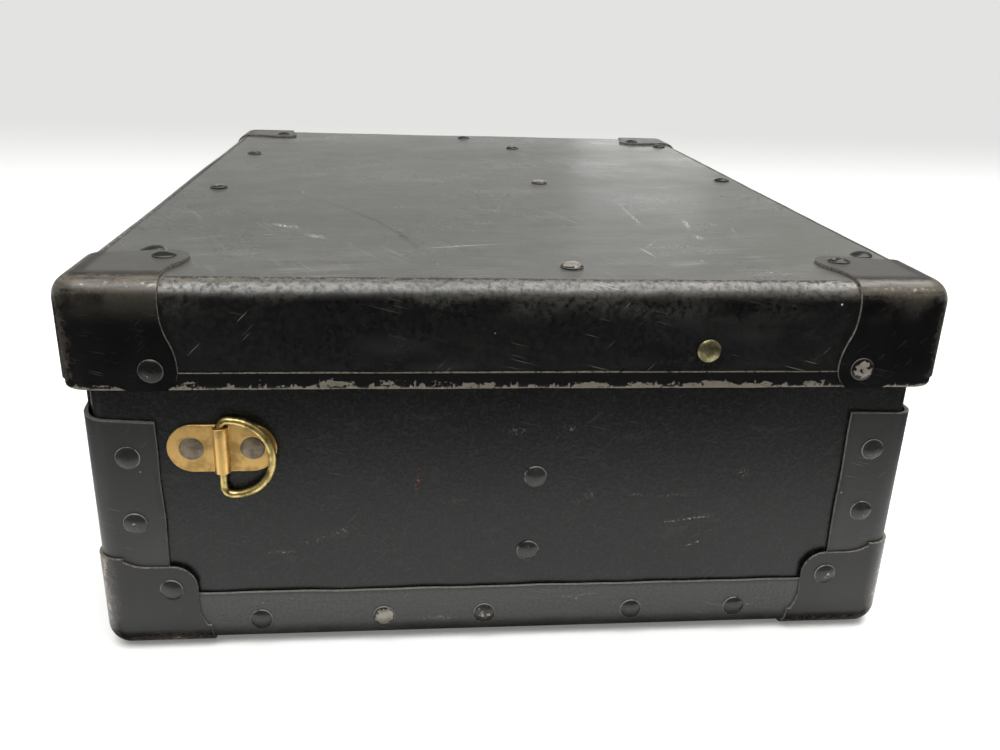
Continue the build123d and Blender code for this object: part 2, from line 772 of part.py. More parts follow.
def make_catch_plate():
    width, height = catch_plate
    top = catch_pivot_z + catch_plate_above
    plate = block(-wall_x - leaf_t, -wall_x, catch_y - width / 2, catch_y + width / 2,
                  top - height, top)
    plate = fillet(plate.edges().filter_by(Axis.X), catch_plate_r)
    ear_y = lever_w / 2 + free_gap + catch_ear_t / 2
    for side in (-1, 1):
        y = catch_y + side * ear_y
        ear = rod((catch_x, y, catch_pivot_z), (0, 1, 0), lever_barrel_r, catch_ear_t)
        ear += block(catch_x, -wall_x, y - catch_ear_t / 2, y + catch_ear_t / 2,
                     catch_pivot_z - lever_barrel_r, catch_pivot_z + lever_barrel_r)
        plate += ear
    plate -= rod((catch_x, catch_y, catch_pivot_z), (0, 1, 0), catch_pin_r, 2 * width)
    return plate


def catch_rivets(side):
    body = [Rivet((-wall_x - leaf_t, side * catch_y, catch_pivot_z - catch_rivet_drop),
                  (-1, 0, 0), leaf_t + fibre_t, small_head_r, small_head_h)]
    lid_z = hook_plate_z + hook_plate[1] - hook_rivet_edge
    lid = [Rivet((-lid_x - band_t - leaf_t, side * catch_y + dy, lid_z), (-1, 0, 0),
                 leaf_t + band_t + fibre_t, small_head_r, small_head_h)
           for dy in (-hook_rivet_off, hook_rivet_off)]
    return body, lid


def make_catch_pin():
    length = lever_w + 2 * free_gap + 2 * catch_ear_t
    return rod((catch_x, catch_y, catch_pivot_z), (0, 1, 0), catch_pin_r, length)


loop_x = catch_x - loop_stand
loop_z = catch_pivot_z - loop_drop


def make_lever():
    """Lever hanging down, with a turned-out lip and a second barrel for the loop."""
    y0, y1 = catch_y - lever_w / 2, catch_y + lever_w / 2
    low = catch_pivot_z - lever_len
    lever = block(catch_x - leaf_t / 2, catch_x + leaf_t / 2, y0, y1, low, catch_pivot_z)
    outer = catch_x - leaf_t / 2
    t = lever_lip_t
    lip = make_face(Polyline(
        (outer, 0, low + t), (catch_x + leaf_t / 2, 0, low),
        (outer - lever_lip + t, 0, low - lever_lip),
        (outer - lever_lip, 0, low - lever_lip + t), close=True))
    lip = extrude(lip, lever_w, dir=(0, 1, 0))
    lever += Pos(0, y0 - lip.bounding_box().min.Y, 0) * lip
    lever += rod((catch_x, catch_y, catch_pivot_z), (0, 1, 0), lever_barrel_r, lever_w)
    lever += rod((loop_x, catch_y, loop_z), (0, 1, 0), loop_barrel_r, lever_w)
    lever += block(loop_x, catch_x, y0, y1, loop_z - loop_web_t / 2, loop_z + loop_web_t / 2)
    gap = lever_bore_gap
    lever -= rod((catch_x, catch_y, catch_pivot_z), (0, 1, 0), catch_pin_r + gap, 2 * lever_w)
    lever -= rod((loop_x, catch_y, loop_z), (0, 1, 0), loop_wire_r + gap, 2 * lever_w)
    return lever


def make_loop():
    """Wire loop hanging from the lever's outer barrel."""
    w, r = loop_half_w, loop_corner_r
    k = r * (1 - cos(radians(45)))
    low = loop_z - loop_len

    def p(py, pz):
        return (loop_x, catch_y + py, pz)

    return wire_loop([
        Line(p(-w + r, loop_z), p(w - r, loop_z)),
        ThreePointArc(p(w - r, loop_z), p(w - k, loop_z - k), p(w, loop_z - r)),
        Line(p(w, loop_z - r), p(w, low + r)),
        ThreePointArc(p(w, low + r), p(w - k, low + k), p(w - r, low)),
        Line(p(w - r, low), p(-w + r, low)),
        ThreePointArc(p(-w + r, low), p(-w + k, low + k), p(-w, low + r)),
        Line(p(-w, low + r), p(-w, loop_z - r)),
        ThreePointArc(p(-w, loop_z - r), p(-w + k, loop_z - k), p(-w + r, loop_z)),
    ], loop_wire_r)


def make_hook_plate():
    """Plate on the lid with an upturned hook for the loop."""
    width, height = hook_plate
    face = -lid_x - band_t
    plate = block(face - leaf_t, face, catch_y - width / 2, catch_y + width / 2,
                  hook_plate_z, hook_plate_z + height)
    plate = fillet(plate.edges().filter_by(Axis.X), catch_plate_r)
    hook = block(face - leaf_t - hook_out, face - leaf_t / 2, catch_y - hook_w / 2,
                 catch_y + hook_w / 2, hook_z - leaf_t, hook_z)
    hook += block(face - leaf_t - hook_out, face - hook_out, catch_y - hook_w / 2,
                  catch_y + hook_w / 2, hook_z - leaf_t, hook_z + hook_up)
    return plate + hook


# ---- build and write ----------------------------------------------------------------

body_fittings = []
lid_fittings = []
for side in (NEAR, FAR):
    for group in (hinge_rivets(side), catch_rivets(side)):
        body_fittings += group[0]
        lid_fittings += group[1]
    body_fittings += lug_rivets(side)
ring_rivets = [
    Rivet((ring_x + dx, sy * (wall_y + ring_plate_t), ring_plate_z), (0, sy, 0),
          ring_plate_t + fibre_t, head_r, head_h)
    for sy in (NEAR, FAR) for dx in (-ring_rivet_off, ring_rivet_off)]

all_lid = lid_cap_rivets + lid_top_rivets + [lid_brass_rivet] + lid_fittings
all_body = (corner_strip_rivets + bottom_strip_rivets + bottom_cap_rivets + end_panel_rivets
            + ring_rivets + body_fittings)

rim_band = make_rim_band()
save("lid_shell", drilled(make_lid_shell(), all_lid))
for place, cap in at_corners(make_lid_cap(rim_band)).items():
    save(f"lid_cap_{place}", drilled(cap, all_lid))
save("lid_rim_band", drilled(rim_band, all_lid))
save("lid_cap_rivets", *[r.solid() for r in lid_cap_rivets])
save("lid_top_rivets", *[r.solid() for r in lid_top_rivets])
save("lid_brass_rivet", lid_brass_rivet.solid())
save("lid_fitting_rivets", *[r.solid() for r in lid_fittings])

long_y = cross_batten_y - cross_batten_w
side_batten = block(side_batten_x - side_batten_w, side_batten_x, -long_y, long_y,
                    batten_z, ceiling_z)
cross_batten = block(-side_batten_x, side_batten_x, long_y, cross_batten_y,
                     batten_z, ceiling_z)
top_edge = cross_batten.faces().sort_by(Axis.Y)[-1].edges().sort_by(Axis.Z)[-1]
cross_batten = chamfer(top_edge, lid_roll_r - fibre_t - cross_batten_clear + roll_clear)
lid_battens = {
    "left": side_batten.mirror(Plane.YZ),
    "right": side_batten,
    "near": cross_batten.mirror(Plane.XZ),
    "far": cross_batten,
    "centre": block(centre_batten_x - centre_batten_w / 2, centre_batten_x + centre_batten_w / 2,
                    -long_y, long_y, batten_z, ceiling_z),
}
for place, batten in lid_battens.items():
    save(f"lid_batten_{place}", drilled(batten, all_lid))

save("body_tray", drilled(make_tray(), all_body))
near_panel = make_end_panel()
save("end_panel_near", drilled(near_panel, all_body))
save("end_panel_far", drilled(near_panel.mirror(Plane.XZ), all_body))
for place, strip in at_corners(make_corner_strip()).items():
    save(f"corner_strip_{place}", drilled(strip, all_body))
end_strip, side_strip = make_bottom_strips()
save("bottom_strip_near", drilled(end_strip, all_body))
save("bottom_strip_far", drilled(end_strip.mirror(Plane.XZ), all_body))
save("bottom_strip_left", drilled(side_strip, all_body))
save("bottom_strip_right", drilled(side_strip.mirror(Plane.YZ), all_body))
for place, cap in at_corners(make_bottom_cap()).items():
    save(f"bottom_cap_{place}", drilled(cap, all_body))
for place, side in (("near", NEAR), ("far", FAR)):
    inner = side * (wall_y - fibre_t)
    y0, y1 = sorted((inner, inner - side * batten_t))
    batten = block(end_batten_x - end_batten_w / 2, end_batten_x + end_batten_w / 2, y0, y1,
                   end_batten_low, end_batten_top)
    save(f"end_batten_{place}", drilled(batten, all_body))
save("body_rivets", *[r.solid() for r in corner_strip_rivets + bottom_strip_rivets
                      + bottom_cap_rivets + end_panel_rivets])
save("ring_rivets", *[r.solid() for r in ring_rivets])
save("body_fitting_rivets", *[r.solid() for r in body_fittings])

ring_plate = make_ring_plate()
d_ring = make_d_ring()
save("ring_plate_near", drilled(ring_plate, all_body))
save("ring_plate_far", drilled(ring_plate.mirror(Plane.XZ), all_body))
save("strap_ring_near", d_ring)
save("strap_ring_far", d_ring.mirror(Plane.XZ))

hinge_body, hinge_lid, hinge_pin = make_hinge()
lug = make_lug()
catch_base, catch_pin, lever = make_catch_plate(), make_catch_pin(), make_lever()
loop, hook = make_loop(), make_hook_plate()
for place, flip in (("far", False), ("near", True)):

    def put(shape):
        return shape.mirror(Plane.XZ) if flip else shape

    save(f"hinge_body_leaf_{place}", drilled(put(hinge_body), all_body))
    save(f"hinge_lid_leaf_{place}", drilled(put(hinge_lid), all_lid))
    save(f"hinge_pin_{place}", put(hinge_pin))
    save(f"handle_lug_{place}", drilled(put(lug), all_body))
    save(f"catch_plate_{place}", drilled(put(catch_base), all_body))
    save(f"catch_pin_{place}", put(catch_pin))
    save(f"catch_lever_{place}", put(lever))
    save(f"catch_loop_{place}", put(loop))
    save(f"catch_hook_{place}", drilled(put(hook), all_lid))
save("handle_bail", make_bail())
save("handle_grip", make_grip())
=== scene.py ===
"""Instrument carrying case in black vulcanised fibre: its surfaces, the worn and uneven pieces
that a plain solid can't show, and a pale studio.  Metres throughout."""

import json
import math

import bmesh
import bpy
import numpy as np
from mathutils import Matrix, Vector

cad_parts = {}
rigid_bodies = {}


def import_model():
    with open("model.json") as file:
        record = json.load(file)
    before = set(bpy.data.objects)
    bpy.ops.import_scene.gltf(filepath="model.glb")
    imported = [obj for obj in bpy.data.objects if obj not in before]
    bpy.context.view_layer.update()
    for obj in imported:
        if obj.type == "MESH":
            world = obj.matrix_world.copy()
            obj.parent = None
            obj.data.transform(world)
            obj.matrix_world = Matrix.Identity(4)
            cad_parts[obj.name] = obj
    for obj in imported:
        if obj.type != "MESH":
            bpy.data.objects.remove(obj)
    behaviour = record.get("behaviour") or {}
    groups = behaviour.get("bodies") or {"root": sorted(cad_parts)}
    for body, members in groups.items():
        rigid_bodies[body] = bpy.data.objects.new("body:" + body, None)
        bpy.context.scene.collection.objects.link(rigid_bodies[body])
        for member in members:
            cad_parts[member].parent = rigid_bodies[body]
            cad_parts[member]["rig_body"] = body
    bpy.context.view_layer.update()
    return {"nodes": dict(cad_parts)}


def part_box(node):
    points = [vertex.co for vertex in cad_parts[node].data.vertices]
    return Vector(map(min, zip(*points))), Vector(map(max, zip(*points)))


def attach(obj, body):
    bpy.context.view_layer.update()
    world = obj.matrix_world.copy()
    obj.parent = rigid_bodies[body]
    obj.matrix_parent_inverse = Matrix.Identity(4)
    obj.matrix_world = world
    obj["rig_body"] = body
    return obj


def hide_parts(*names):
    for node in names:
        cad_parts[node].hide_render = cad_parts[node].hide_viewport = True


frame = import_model()

MM = 0.001
TAU = 2 * math.pi

# ---- planes of the case, read from the frame ----------------------------------------

lid_low, lid_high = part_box("lid_shell")
lid_x, lid_y, lid_top = lid_high
lid_cap_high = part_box("lid_cap_far_right")[1]
foot_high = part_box("bottom_cap_far_right")[1]
band_low, band_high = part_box("lid_rim_band")
rim_z = band_low.z
strip_low, strip_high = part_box("corner_strip_far_right")
strip_x, strip_y = strip_high.x, strip_high.y
base_low, base_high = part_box("bottom_strip_near")
side_low, side_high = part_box("bottom_strip_left")
grip_low, grip_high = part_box("handle_grip")

# sheet stock and bends, as in the part
FIBRE_T = 2.2 * MM
STRIP_T = 1.6 * MM
BAND_T = band_high.x - lid_x
BAND_INSIDE = 5.0 * MM       # band's leg inside the rim
LID_CORNER_R = 10.0 * MM
LID_ROLL_R = 8.0 * MM
BEND_R = 9.0 * MM
BAIL_R = 3.0 * MM

# settings that many nodes share
SMOOTH = {"interpolation_type": "SMOOTHSTEP"}
TIMES, TIMES_PLUS, MOST = ({"operation": name} for name in ("MULTIPLY", "MULTIPLY_ADD", "MAXIMUM"))


# ---- colours and nodes --------------------------------------------------------------

def linear(shade):
    """sRGB hex to linear RGBA."""
    parts = [int(shade[i:i + 2], 16) / 255 for i in (1, 3, 5)]
    return (*[p / 12.92 if p <= 0.04045 else ((p + 0.055) / 1.055) ** 2.4 for p in parts], 1.0)


def add(tree, kind, inputs, out=0, **settings):
    """Add one shader node with its settings.  Inputs are values, or the sockets that feed
    them, by name or number.  Gives one of the node's outputs."""
    made = tree.nodes.new("ShaderNode" + kind)
    for name, value in settings.items():
        setattr(made, name, value)
    for name, value in inputs.items():
        if isinstance(value, bpy.types.NodeSocket):
            tree.links.new(value, made.inputs[name])
        else:
            made.inputs[name].default_value = value
    return made.outputs[out]


def start(name):
    """A new material: itself, its tree, its shader and its object coordinates."""
    made = bpy.data.materials.new(name)
    made.use_nodes = True
    tree = made.node_tree
    return made, tree, tree.nodes["Principled BSDF"], add(tree, "TexCoord", {}, "Object")


def give(tree, shader, **sockets):
    """Feed the shader's sockets; an underscore in a name stands for a space."""
    for name, value in sockets.items():
        socket = shader.inputs[name.replace("_", " ")]
        if isinstance(value, bpy.types.NodeSocket):
            tree.links.new(value, socket)
        else:
            socket.default_value = value


# ---- patterns ----------------------------------------------------

def mottle(tree, place, size, detail=4.0, rough=0.6, stretch=(1, 1, 1), turn=(0, 0, 0), seed=0):
    """Cloudy patches about size across, drawn out along turned axes by stretch."""
    drawn = add(tree, "Mapping", {
        "Vector": place, "Location": (seed * 0.31, seed * 0.17, seed * 0.23),
        "Rotation": turn, "Scale": tuple(size * s for s in stretch)}, vector_type="TEXTURE")
    return add(tree, "TexNoise", {"Vector": drawn, "Scale": 1.0, "Detail": detail,
                                  "Roughness": rough})


def coats(tree, ground, *layers):
    """Shades laid over a ground in turn: each (mask, shade) covers what is under it where its
    mask is 1.  A shade is a hex colour or a socket."""
    for mask, shade in layers:
        under, over = (linear(s) if isinstance(s, str) else s for s in (ground, shade))
        ground = add(tree, "Mix", {0: mask, 6: under, 7: over}, 2, data_type="RGBA")
    return ground


def where(tree, amount, source, low, high, least=0.0):
    """An amount times a smooth ramp, least to 1, as its source goes from low to high."""
    ramp = add(tree, "MapRange", {0: source, 1: low, 2: high, 3: least}, **SMOOTH)
    return add(tree, "Math", {0: amount, 1: ramp}, **TIMES)


def hair_scratches(tree, place, turn, length, width, share, seed):
    """Fine scratches of one direction: needle-shaped noise cut near its top, in patches."""
    needles = mottle(tree, place, width, 1.0, 0.5, (length / width, 1, 1), turn, seed)
    cut = add(tree, "MapRange", {0: needles, 1: 1 - share, 2: 1.05 - share}, **SMOOTH)
    return where(tree, cut, mottle(tree, place, 45 * MM, 2.0, 0.5, seed=seed + 4), 0.46, 0.62)


def round_the_walls(tree, place):
    """Upright walls laid out flat: how far round, as x plus y, and how high."""
    axes = add(tree, "SeparateXYZ", {0: place}).node.outputs
    around = add(tree, "Math", {0: axes[0], 1: axes[1]}, operation="ADD")
    return add(tree, "CombineXYZ", {0: around, 2: axes[2]})


def wall_scratches(tree, place, length, width, share, seed):
    """Scratches of two directions, on the case's upright walls only."""
    flat = round_the_walls(tree, place)
    both = add(tree, "Math", {
        0: hair_scratches(tree, flat, (0, 0.25, 0), length, width, share, seed),
        1: hair_scratches(tree, flat, (0, -0.8, 0), 0.7 * length, width, share - 0.02,
                          seed + 1)}, **MOST)
    axes = add(tree, "SeparateXYZ", {0: place}).node.outputs
    out = [add(tree, "Math", {0: axes[i]}, operation="ABSOLUTE") for i in (0, 1)]
    walls = [add(tree, "MapRange", {0: far, 1: plane - 5 * MM, 2: plane - 4 * MM}, **SMOOTH)
             for far, plane in zip(out, (strip_x, strip_y))]
    upright = add(tree, "Math", {0: walls[0], 1: walls[1]}, **MOST)
    return add(tree, "Math", {0: both, 1: upright}, **TIMES)


def specks(tree, place, spacing, radius, share, seed):
    """Scattered round specks: the middles of a share of random cells."""
    moved = add(tree, "Mapping", {"Vector": place, "Location": (seed, seed, seed),
                                  "Scale": (1 / spacing,) * 3})
    cells = add(tree, "TexVoronoi", {"Vector": moved, "Scale": 1.0}).node
    round_ones = add(tree, "MapRange", {0: cells.outputs["Distance"], 1: radius / spacing,
                                        2: 0.3 * radius / spacing}, **SMOOTH)
    chosen = add(tree, "Math", {0: cells.outputs["Color"], 1: 1 - share}, operation="GREATER_THAN")
    return add(tree, "Math", {0: round_ones, 1: chosen}, **TIMES)


def rubbed_marks(tree, place, marks, plane, broken=True):
    """Straight rubbed marks: (across, up, length, width, degrees) in millimetres in a plane,
    each an ellipse that fades outwards; broken up by fine noise where asked."""
    total = None
    for across, up, length, width, angle in marks:
        if plane == "top":
            centre = (across * MM, up * MM, lid_top)
            turn = (0, 0, math.radians(angle))
            size = (length * MM / 2, width * MM / 2, 3 * MM)
        else:
            centre = (across * MM, -strip_y, up * MM)
            turn = (0, -math.radians(angle), 0)
            size = (length * MM / 2, 5 * MM, width * MM / 2)
        inside = add(tree, "Mapping", {"Vector": place, "Location": centre, "Rotation": turn,
                                       "Scale": size}, vector_type="TEXTURE")
        away = add(tree, "VectorMath", {0: inside}, "Value", operation="LENGTH")
        mark = add(tree, "MapRange", {0: away, 1: 1.0, 2: 0.3}, **SMOOTH)
        total = mark if total is None else add(tree, "Math", {0: total, 1: mark}, **MOST)
    if not broken:
        return total
    return where(tree, total, mottle(tree, place, 1.3 * MM, 5.0, 0.75, seed=9), 0.52, 0.62)


def arc_crack(tree, place):
    """A crack in the lid's top along a circle: how near the distance from the circle's middle,
    with a slow wobble, is to its radius; faint to the left, full to where it ends."""
    middle_x, middle_y, radius = -0.2648, -0.2175, 0.2304
    wander = 5 * MM              # the wobble's noise is about a half, so it adds half of this
    inside = add(tree, "Mapping", {"Vector": place, "Location": (middle_x, middle_y, lid_top),
                                   "Scale": (1, 1, 1000)}, vector_type="TEXTURE")
    away = add(tree, "VectorMath", {0: inside}, "Value", operation="LENGTH")
    wobble = mottle(tree, place, 22 * MM, 3.0, 0.6, seed=15)
    away = add(tree, "Math", {0: wobble, 1: wander, 2: away}, **TIMES_PLUS)
    off = add(tree, "Math", {0: away, 1: radius + wander / 2}, operation="SUBTRACT")
    off = add(tree, "Math", {0: off}, operation="ABSOLUTE")
    line = add(tree, "MapRange", {0: off, 1: 1.4 * MM, 2: 0.4 * MM}, **SMOOTH)
    across = add(tree, "SeparateXYZ", {0: place}).node.outputs[0]
    grows = add(tree, "MapRange", {0: across, 1: -0.136, 2: -0.06, 4: 0.9}, **SMOOTH)
    shown = where(tree, grows, across, -0.037, -0.040)
    return add(tree, "Math", {0: line, 1: shown}, **TIMES)


def closeness(tree, place, half_x, half_y, level, reach):
    """How near a point is to where two outer faces of the case meet: 0 inside a face, 1 on
    the edge.  It is the second largest of three ramps towards the outer planes."""
    axes = add(tree, "SeparateXYZ", {0: place}).node.outputs
    size = [add(tree, "Math", {0: axes[i]}, operation="ABSOLUTE") for i in (0, 1)]
    inward = level - reach if level > reach else level + reach
    ramps = [add(tree, "MapRange", {0: out, 1: begin, 2: plane}) for out, begin,
             plane in ((size[0], half_x - reach, half_x), (size[1], half_y - reach, half_y),
                       (axes[2], inward, level))]
    pairs = [add(tree, "Math", {0: ramps[i], 1: ramps[j]}, operation="MINIMUM")
             for i, j in ((0, 1), (0, 2), (1, 2))]
    first = add(tree, "Math", {0: pairs[0], 1: pairs[1]}, **MOST)
    return add(tree, "Math", {0: first, 1: pairs[2]}, **MOST)


def roll_wear(tree, place, level, edge, fine):
    """Wear on the rolled top edge, with a painted highlight in it, by depth under the top: a dirty
    line where the roll starts, a rubbed band under it that is partly a painted highlight, and
    a haze that thins down the side."""
    height = add(tree, "SeparateXYZ", {0: place}).node.outputs[2]
    depth = add(tree, "Math", {0: level, 1: height}, operation="SUBTRACT")
    ragged = add(tree, "Math", {0: fine, 1: 2.0 * MM, 2: depth}, **TIMES_PLUS)
    near = add(tree, "MapRange", {0: edge, 1: 0.03, 2: 0.16}, **SMOOTH)
    bands = []
    # depths in millimetres: begins, full, gone, starts to go
    for begins, full, gone, going in ((0.35, 0.6, 1.7, 1.1), (1.0, 1.7, 8.5, 2.2),
                                      (2.0, 5.0, 19.0, 5.0)):
        grown = add(tree, "MapRange", {0: ragged, 1: begins * MM, 2: full * MM}, **SMOOTH)
        bands.append(where(tree, grown, ragged, gone * MM, going * MM))
    dirt, rubbed = (add(tree, "Math", {0: band, 1: near}, **TIMES) for band in bands[:2])
    return dirt, rubbed, bands[2]


# ---- materials ----------------------------------------------------------------------

def lid_fibre():
    """Black vulcanised fibre, calendered sheet under old wax.  It gives the lid a satin black
    with a fine grain across, a grey film on the top that is dust and handling and partly
    painted sheen, and a rolled edge that is rubbed to lighter fibre, partly a painted
    highlight, with dirt along it."""
    made, tree, shader, place = start("black_vulcanised_fibre_lid")
    across, along, height = add(tree, "SeparateXYZ", {0: place}).node.outputs
    cloud = mottle(tree, place, 60 * MM, 5.0, 0.58)
    smear = mottle(tree, place, 16 * MM, 3.0, 0.5, stretch=(3.5, 1, 1), turn=(0, 0, 0.25), seed=6)
    # the calender grain is far finer; it is drawn coarse enough to show
    grain = mottle(tree, place, 2.3 * MM, 5.0, 0.75, stretch=(9, 1, 1), seed=2)
    fine = mottle(tree, place, 2.2 * MM, 6.0, 0.7, seed=3)
    edge = closeness(tree, place, lid_x, lid_y, lid_top, 9 * MM)
    dirt, rubbed, haze = roll_wear(tree, place, lid_top, edge, fine)

    # the clean sheet, with its nap and a haze under the roll
    nap = add(tree, "MapRange", {0: fine, 1: 0.42, 2: 0.66, 4: 0.6}, **SMOOTH)
    smeared = add(tree, "MapRange", {0: smear, 1: 0.5, 2: 0.8}, **SMOOTH)
    hazy = where(tree, where(tree, haze, smear, 0.40, 0.68), fine, 0.36, 0.6)
    black = coats(tree, "#040505", (cloud, "#090a0a"), (nap, "#171817"), (smeared, "#1b1c1b"),
                  (hazy, "#393934"))

    # the film on the top: dust in patches and painted sheen, lighter rightwards and at both ends
    settled = add(tree, "MapRange", {0: cloud, 1: 0.34, 2: 0.66}, **SMOOTH)
    painted_sheen_rightwards = add(tree, "MapRange", {0: across, 1: 0.03, 2: 0.17, 4: 0.5}, **SMOOTH)
    painted_sheen_endwards = add(tree, "Math", {0: along}, operation="ABSOLUTE")
    painted_sheen_endwards = add(tree, "MapRange", {0: painted_sheen_endwards, 1: 0.10, 2: 0.225, 4: 0.32}, **SMOOTH)
    dull = add(tree, "MapRange", {0: smear, 1: 0.46, 2: 0.8, 4: 0.35}, **SMOOTH)
    dull = add(tree, "Math", {0: dull, 1: painted_sheen_rightwards}, operation="ADD")
    dull = add(tree, "Math", {0: dull, 1: painted_sheen_endwards}, operation="ADD", use_clamp=True)
    dust_and_sheen_shade = coats(tree, "#2e2e2c", (settled, "#42423e"), (dull, "#5f5e58"))
    on_top = add(tree, "MapRange", {0: height, 1: lid_top - 0.85 * MM, 2: lid_top - 0.5 * MM},
                 **SMOOTH)
    grained = add(tree, "MapRange", {0: grain, 1: 0.3, 2: 0.7, 3: 0.42, 4: 1.1})
    dust_and_sheen_film = add(tree, "Math", {0: on_top, 1: grained}, **TIMES)
    # the rubbed band on the roll: worn lighter fibre, and partly a painted highlight
    worn = coats(tree, "#24221e", (fine, "#7d776b"))
    whole = add(tree, "MapRange", {0: fine, 1: 0.34, 2: 0.58}, **SMOOTH)
    whole = where(tree, whole, cloud, 0.36, 0.6, 0.5)
    rubbed_and_painted_highlight = add(tree, "Math", {0: rubbed, 1: whole}, **TIMES)

    # marks and scratches
    white = rubbed_marks(tree, place, (
        (70.7, -88.6, 85, 1.6, -90), (70.4, -103, 44, 3.0, -90), (65.8, -159.3, 26, 2.0, 62),
        (114.1, -63.5, 8, 2.5, -58), (95.6, -80.1, 9, 2.0, -16), (107.4, -116.9, 9, 4.0, -63),
        (91.3, -145.8, 15, 5.0, -85), (79.7, -189.9, 7, 3.0, -88), (113.2, -130.0, 26, 1.6, -101),
        (93.7, -117.1, 36, 4.0, -99), (-98.3, -131.3, 20, 9.0, -36), (-82.9, -151.1, 20, 7.0, -45),
        (-104.6, -149.3, 11, 2.0, 3)), "top")
    thin = rubbed_marks(tree, place, (
        (-17.9, -167.1, 46, 1.1, 17), (12.0, 92.0, 30, 0.9, -48), (40.0, 120.0, 22, 0.8, -70),
        (-60.0, 60.0, 26, 0.8, 35), (60.0, -175.0, 24, 1.0, -80)), "top", False)
    white = add(tree, "Math", {0: thin, 1: 0.45, 2: white}, **TIMES_PLUS, use_clamp=True)
    lines = add(tree, "Math", {
        0: hair_scratches(tree, place, (0, 0, 0.2), 34 * MM, 0.45 * MM, 0.32, 5),
        1: hair_scratches(tree, place, (0, 0, -1.1), 38 * MM, 0.45 * MM, 0.31, 6)}, **MOST)
    on_walls = wall_scratches(tree, place, 26 * MM, 0.4 * MM, 0.3, 5)
    lines = add(tree, "Mix", {0: on_top, 2: on_walls, 3: lines})
    dust = add(tree, "Math", {0: specks(tree, place, 9 * MM, 0.6 * MM, 0.26, 7),
                              1: specks(tree, place, 21 * MM, 1.1 * MM, 0.3, 8)}, **MOST)
    light = add(tree, "Math", {0: white, 1: dust}, **MOST)
    light = add(tree, "Math", {0: lines, 1: 0.34, 2: light}, **TIMES_PLUS, use_clamp=True)
    dark = rubbed_marks(tree, place, (
        (-96, -190, 14, 1.5, 40), (-20, -60, 30, 1.0, -35), (60, 30, 26, 1.2, 80)), "top")
    dark = add(tree, "Math", {0: dark, 1: arc_crack(tree, place)}, **MOST)
    dark = add(tree, "Math", {0: dark, 1: on_top}, **TIMES)
    red = rubbed_marks(tree, place, ((-127.0, -226.0, 4, 2.2, 60), (-123.0, -228.0, 5, 3.0, 80)),
                       "top")
    colour = coats(tree, black, (dust_and_sheen_film, dust_and_sheen_shade), (dirt, "#161513"), (rubbed_and_painted_highlight, worn),
                   (light, "#d0cfc7"), (dark, "#0e0e0e"), (red, "#8a3a2c"))

    sheen = add(tree, "MapRange", {0: cloud, 1: 0.3, 2: 0.75, 3: 0.2, 4: 0.32})
    rough = add(tree, "Math", {0: fine, 1: 0.1, 2: sheen}, **TIMES_PLUS)
    rough = add(tree, "Math", {0: dirt, 1: 0.5, 2: rough}, **TIMES_PLUS)
    scuffed = add(tree, "MapRange", {0: whole, 3: 0.24, 4: -0.14})
    rough = add(tree, "Math", {0: rubbed, 1: scuffed, 2: rough}, **TIMES_PLUS)
    normal = add(tree, "Bump", {"Height": grain, "Distance": 0.03 * MM, "Strength": 0.6})
    normal = add(tree, "Bump", {"Height": fine, "Distance": 0.03 * MM, "Strength": 0.4,
                                "Normal": normal})
    give(tree, shader, Base_Color=colour, Roughness=rough, Normal=normal, IOR=1.55)
    return made


def wall_fibre():
    """The same fibre on the body, moulded ends and bent tray: satin, a little scuffed, with
    paint and whitewash rubbed on at a few spots."""
    made, tree, shader, place = start("black_vulcanised_fibre_walls")
    cloud = mottle(tree, place, 45 * MM, 5.0, seed=1)
    fine = mottle(tree, place, 1.6 * MM, 5.0, 0.7, seed=3)
    nap = add(tree, "MapRange", {0: fine, 1: 0.40, 2: 0.66, 4: 0.6}, **SMOOTH)
    scuffed = mottle(tree, place, 9 * MM, 6.0, 0.7, stretch=(2.2, 2.2, 1), seed=13)
    scuffed = add(tree, "MapRange", {0: scuffed, 1: 0.56, 2: 0.72, 4: 0.5}, **SMOOTH)
    lines = wall_scratches(tree, place, 24 * MM, 0.45 * MM, 0.29, 5)
    pale = rubbed_marks(tree, place, (
        (32.5, 68.6, 9, 7, 20), (27, 66, 6, 4, 0), (53.7, 68.3, 16, 2.2, -4),
        (-68.4, 54.3, 18, 5, 20), (-80, 50, 16, 4, 18), (-24, 67, 14, 3.5, 5),
        (0, 98, 14, 5, 0), (22, 99, 10, 5, 0), (70, 68, 26, 3, 4), (97, 78, 9, 6, -20),
        (84, 50, 24, 1.0, 22)), "front")
    dust = specks(tree, place, 9 * MM, 0.55 * MM, 0.16, 2)
    light = add(tree, "Math", {0: pale, 1: 0.34, 2: dust}, **TIMES_PLUS)
    light = add(tree, "Math", {0: lines, 1: 0.11, 2: light}, **TIMES_PLUS, use_clamp=True)
    straw = rubbed_marks(tree, place, (
        (-94.0, 44.5, 18, 1.0, 0), (74, 56.2, 32, 1.6, 8), (79, 44.6, 10, 1.4, 20)), "front")
    red = rubbed_marks(tree, place, ((-38.6, 77.4, 15, 2.0, 82), (-39.0, 74.5, 12, 2.6, 84)),
                       "front")
    colour = coats(tree, "#0a0c0b", (cloud, "#121413"), (nap, "#202120"), (scuffed, "#2b2c2a"),
                   (light, "#8f918b"), (straw, "#a59a7c"), (red, "#94403a"))
    rough = add(tree, "MapRange", {0: cloud, 1: 0.3, 2: 0.7, 3: 0.2, 4: 0.28})
    normal = add(tree, "Bump", {"Height": fine, "Distance": 0.12 * MM, "Strength": 0.8})
    give(tree, shader, Base_Color=colour, Roughness=rough, Normal=normal, Specular_IOR_Level=0.3)
    return made


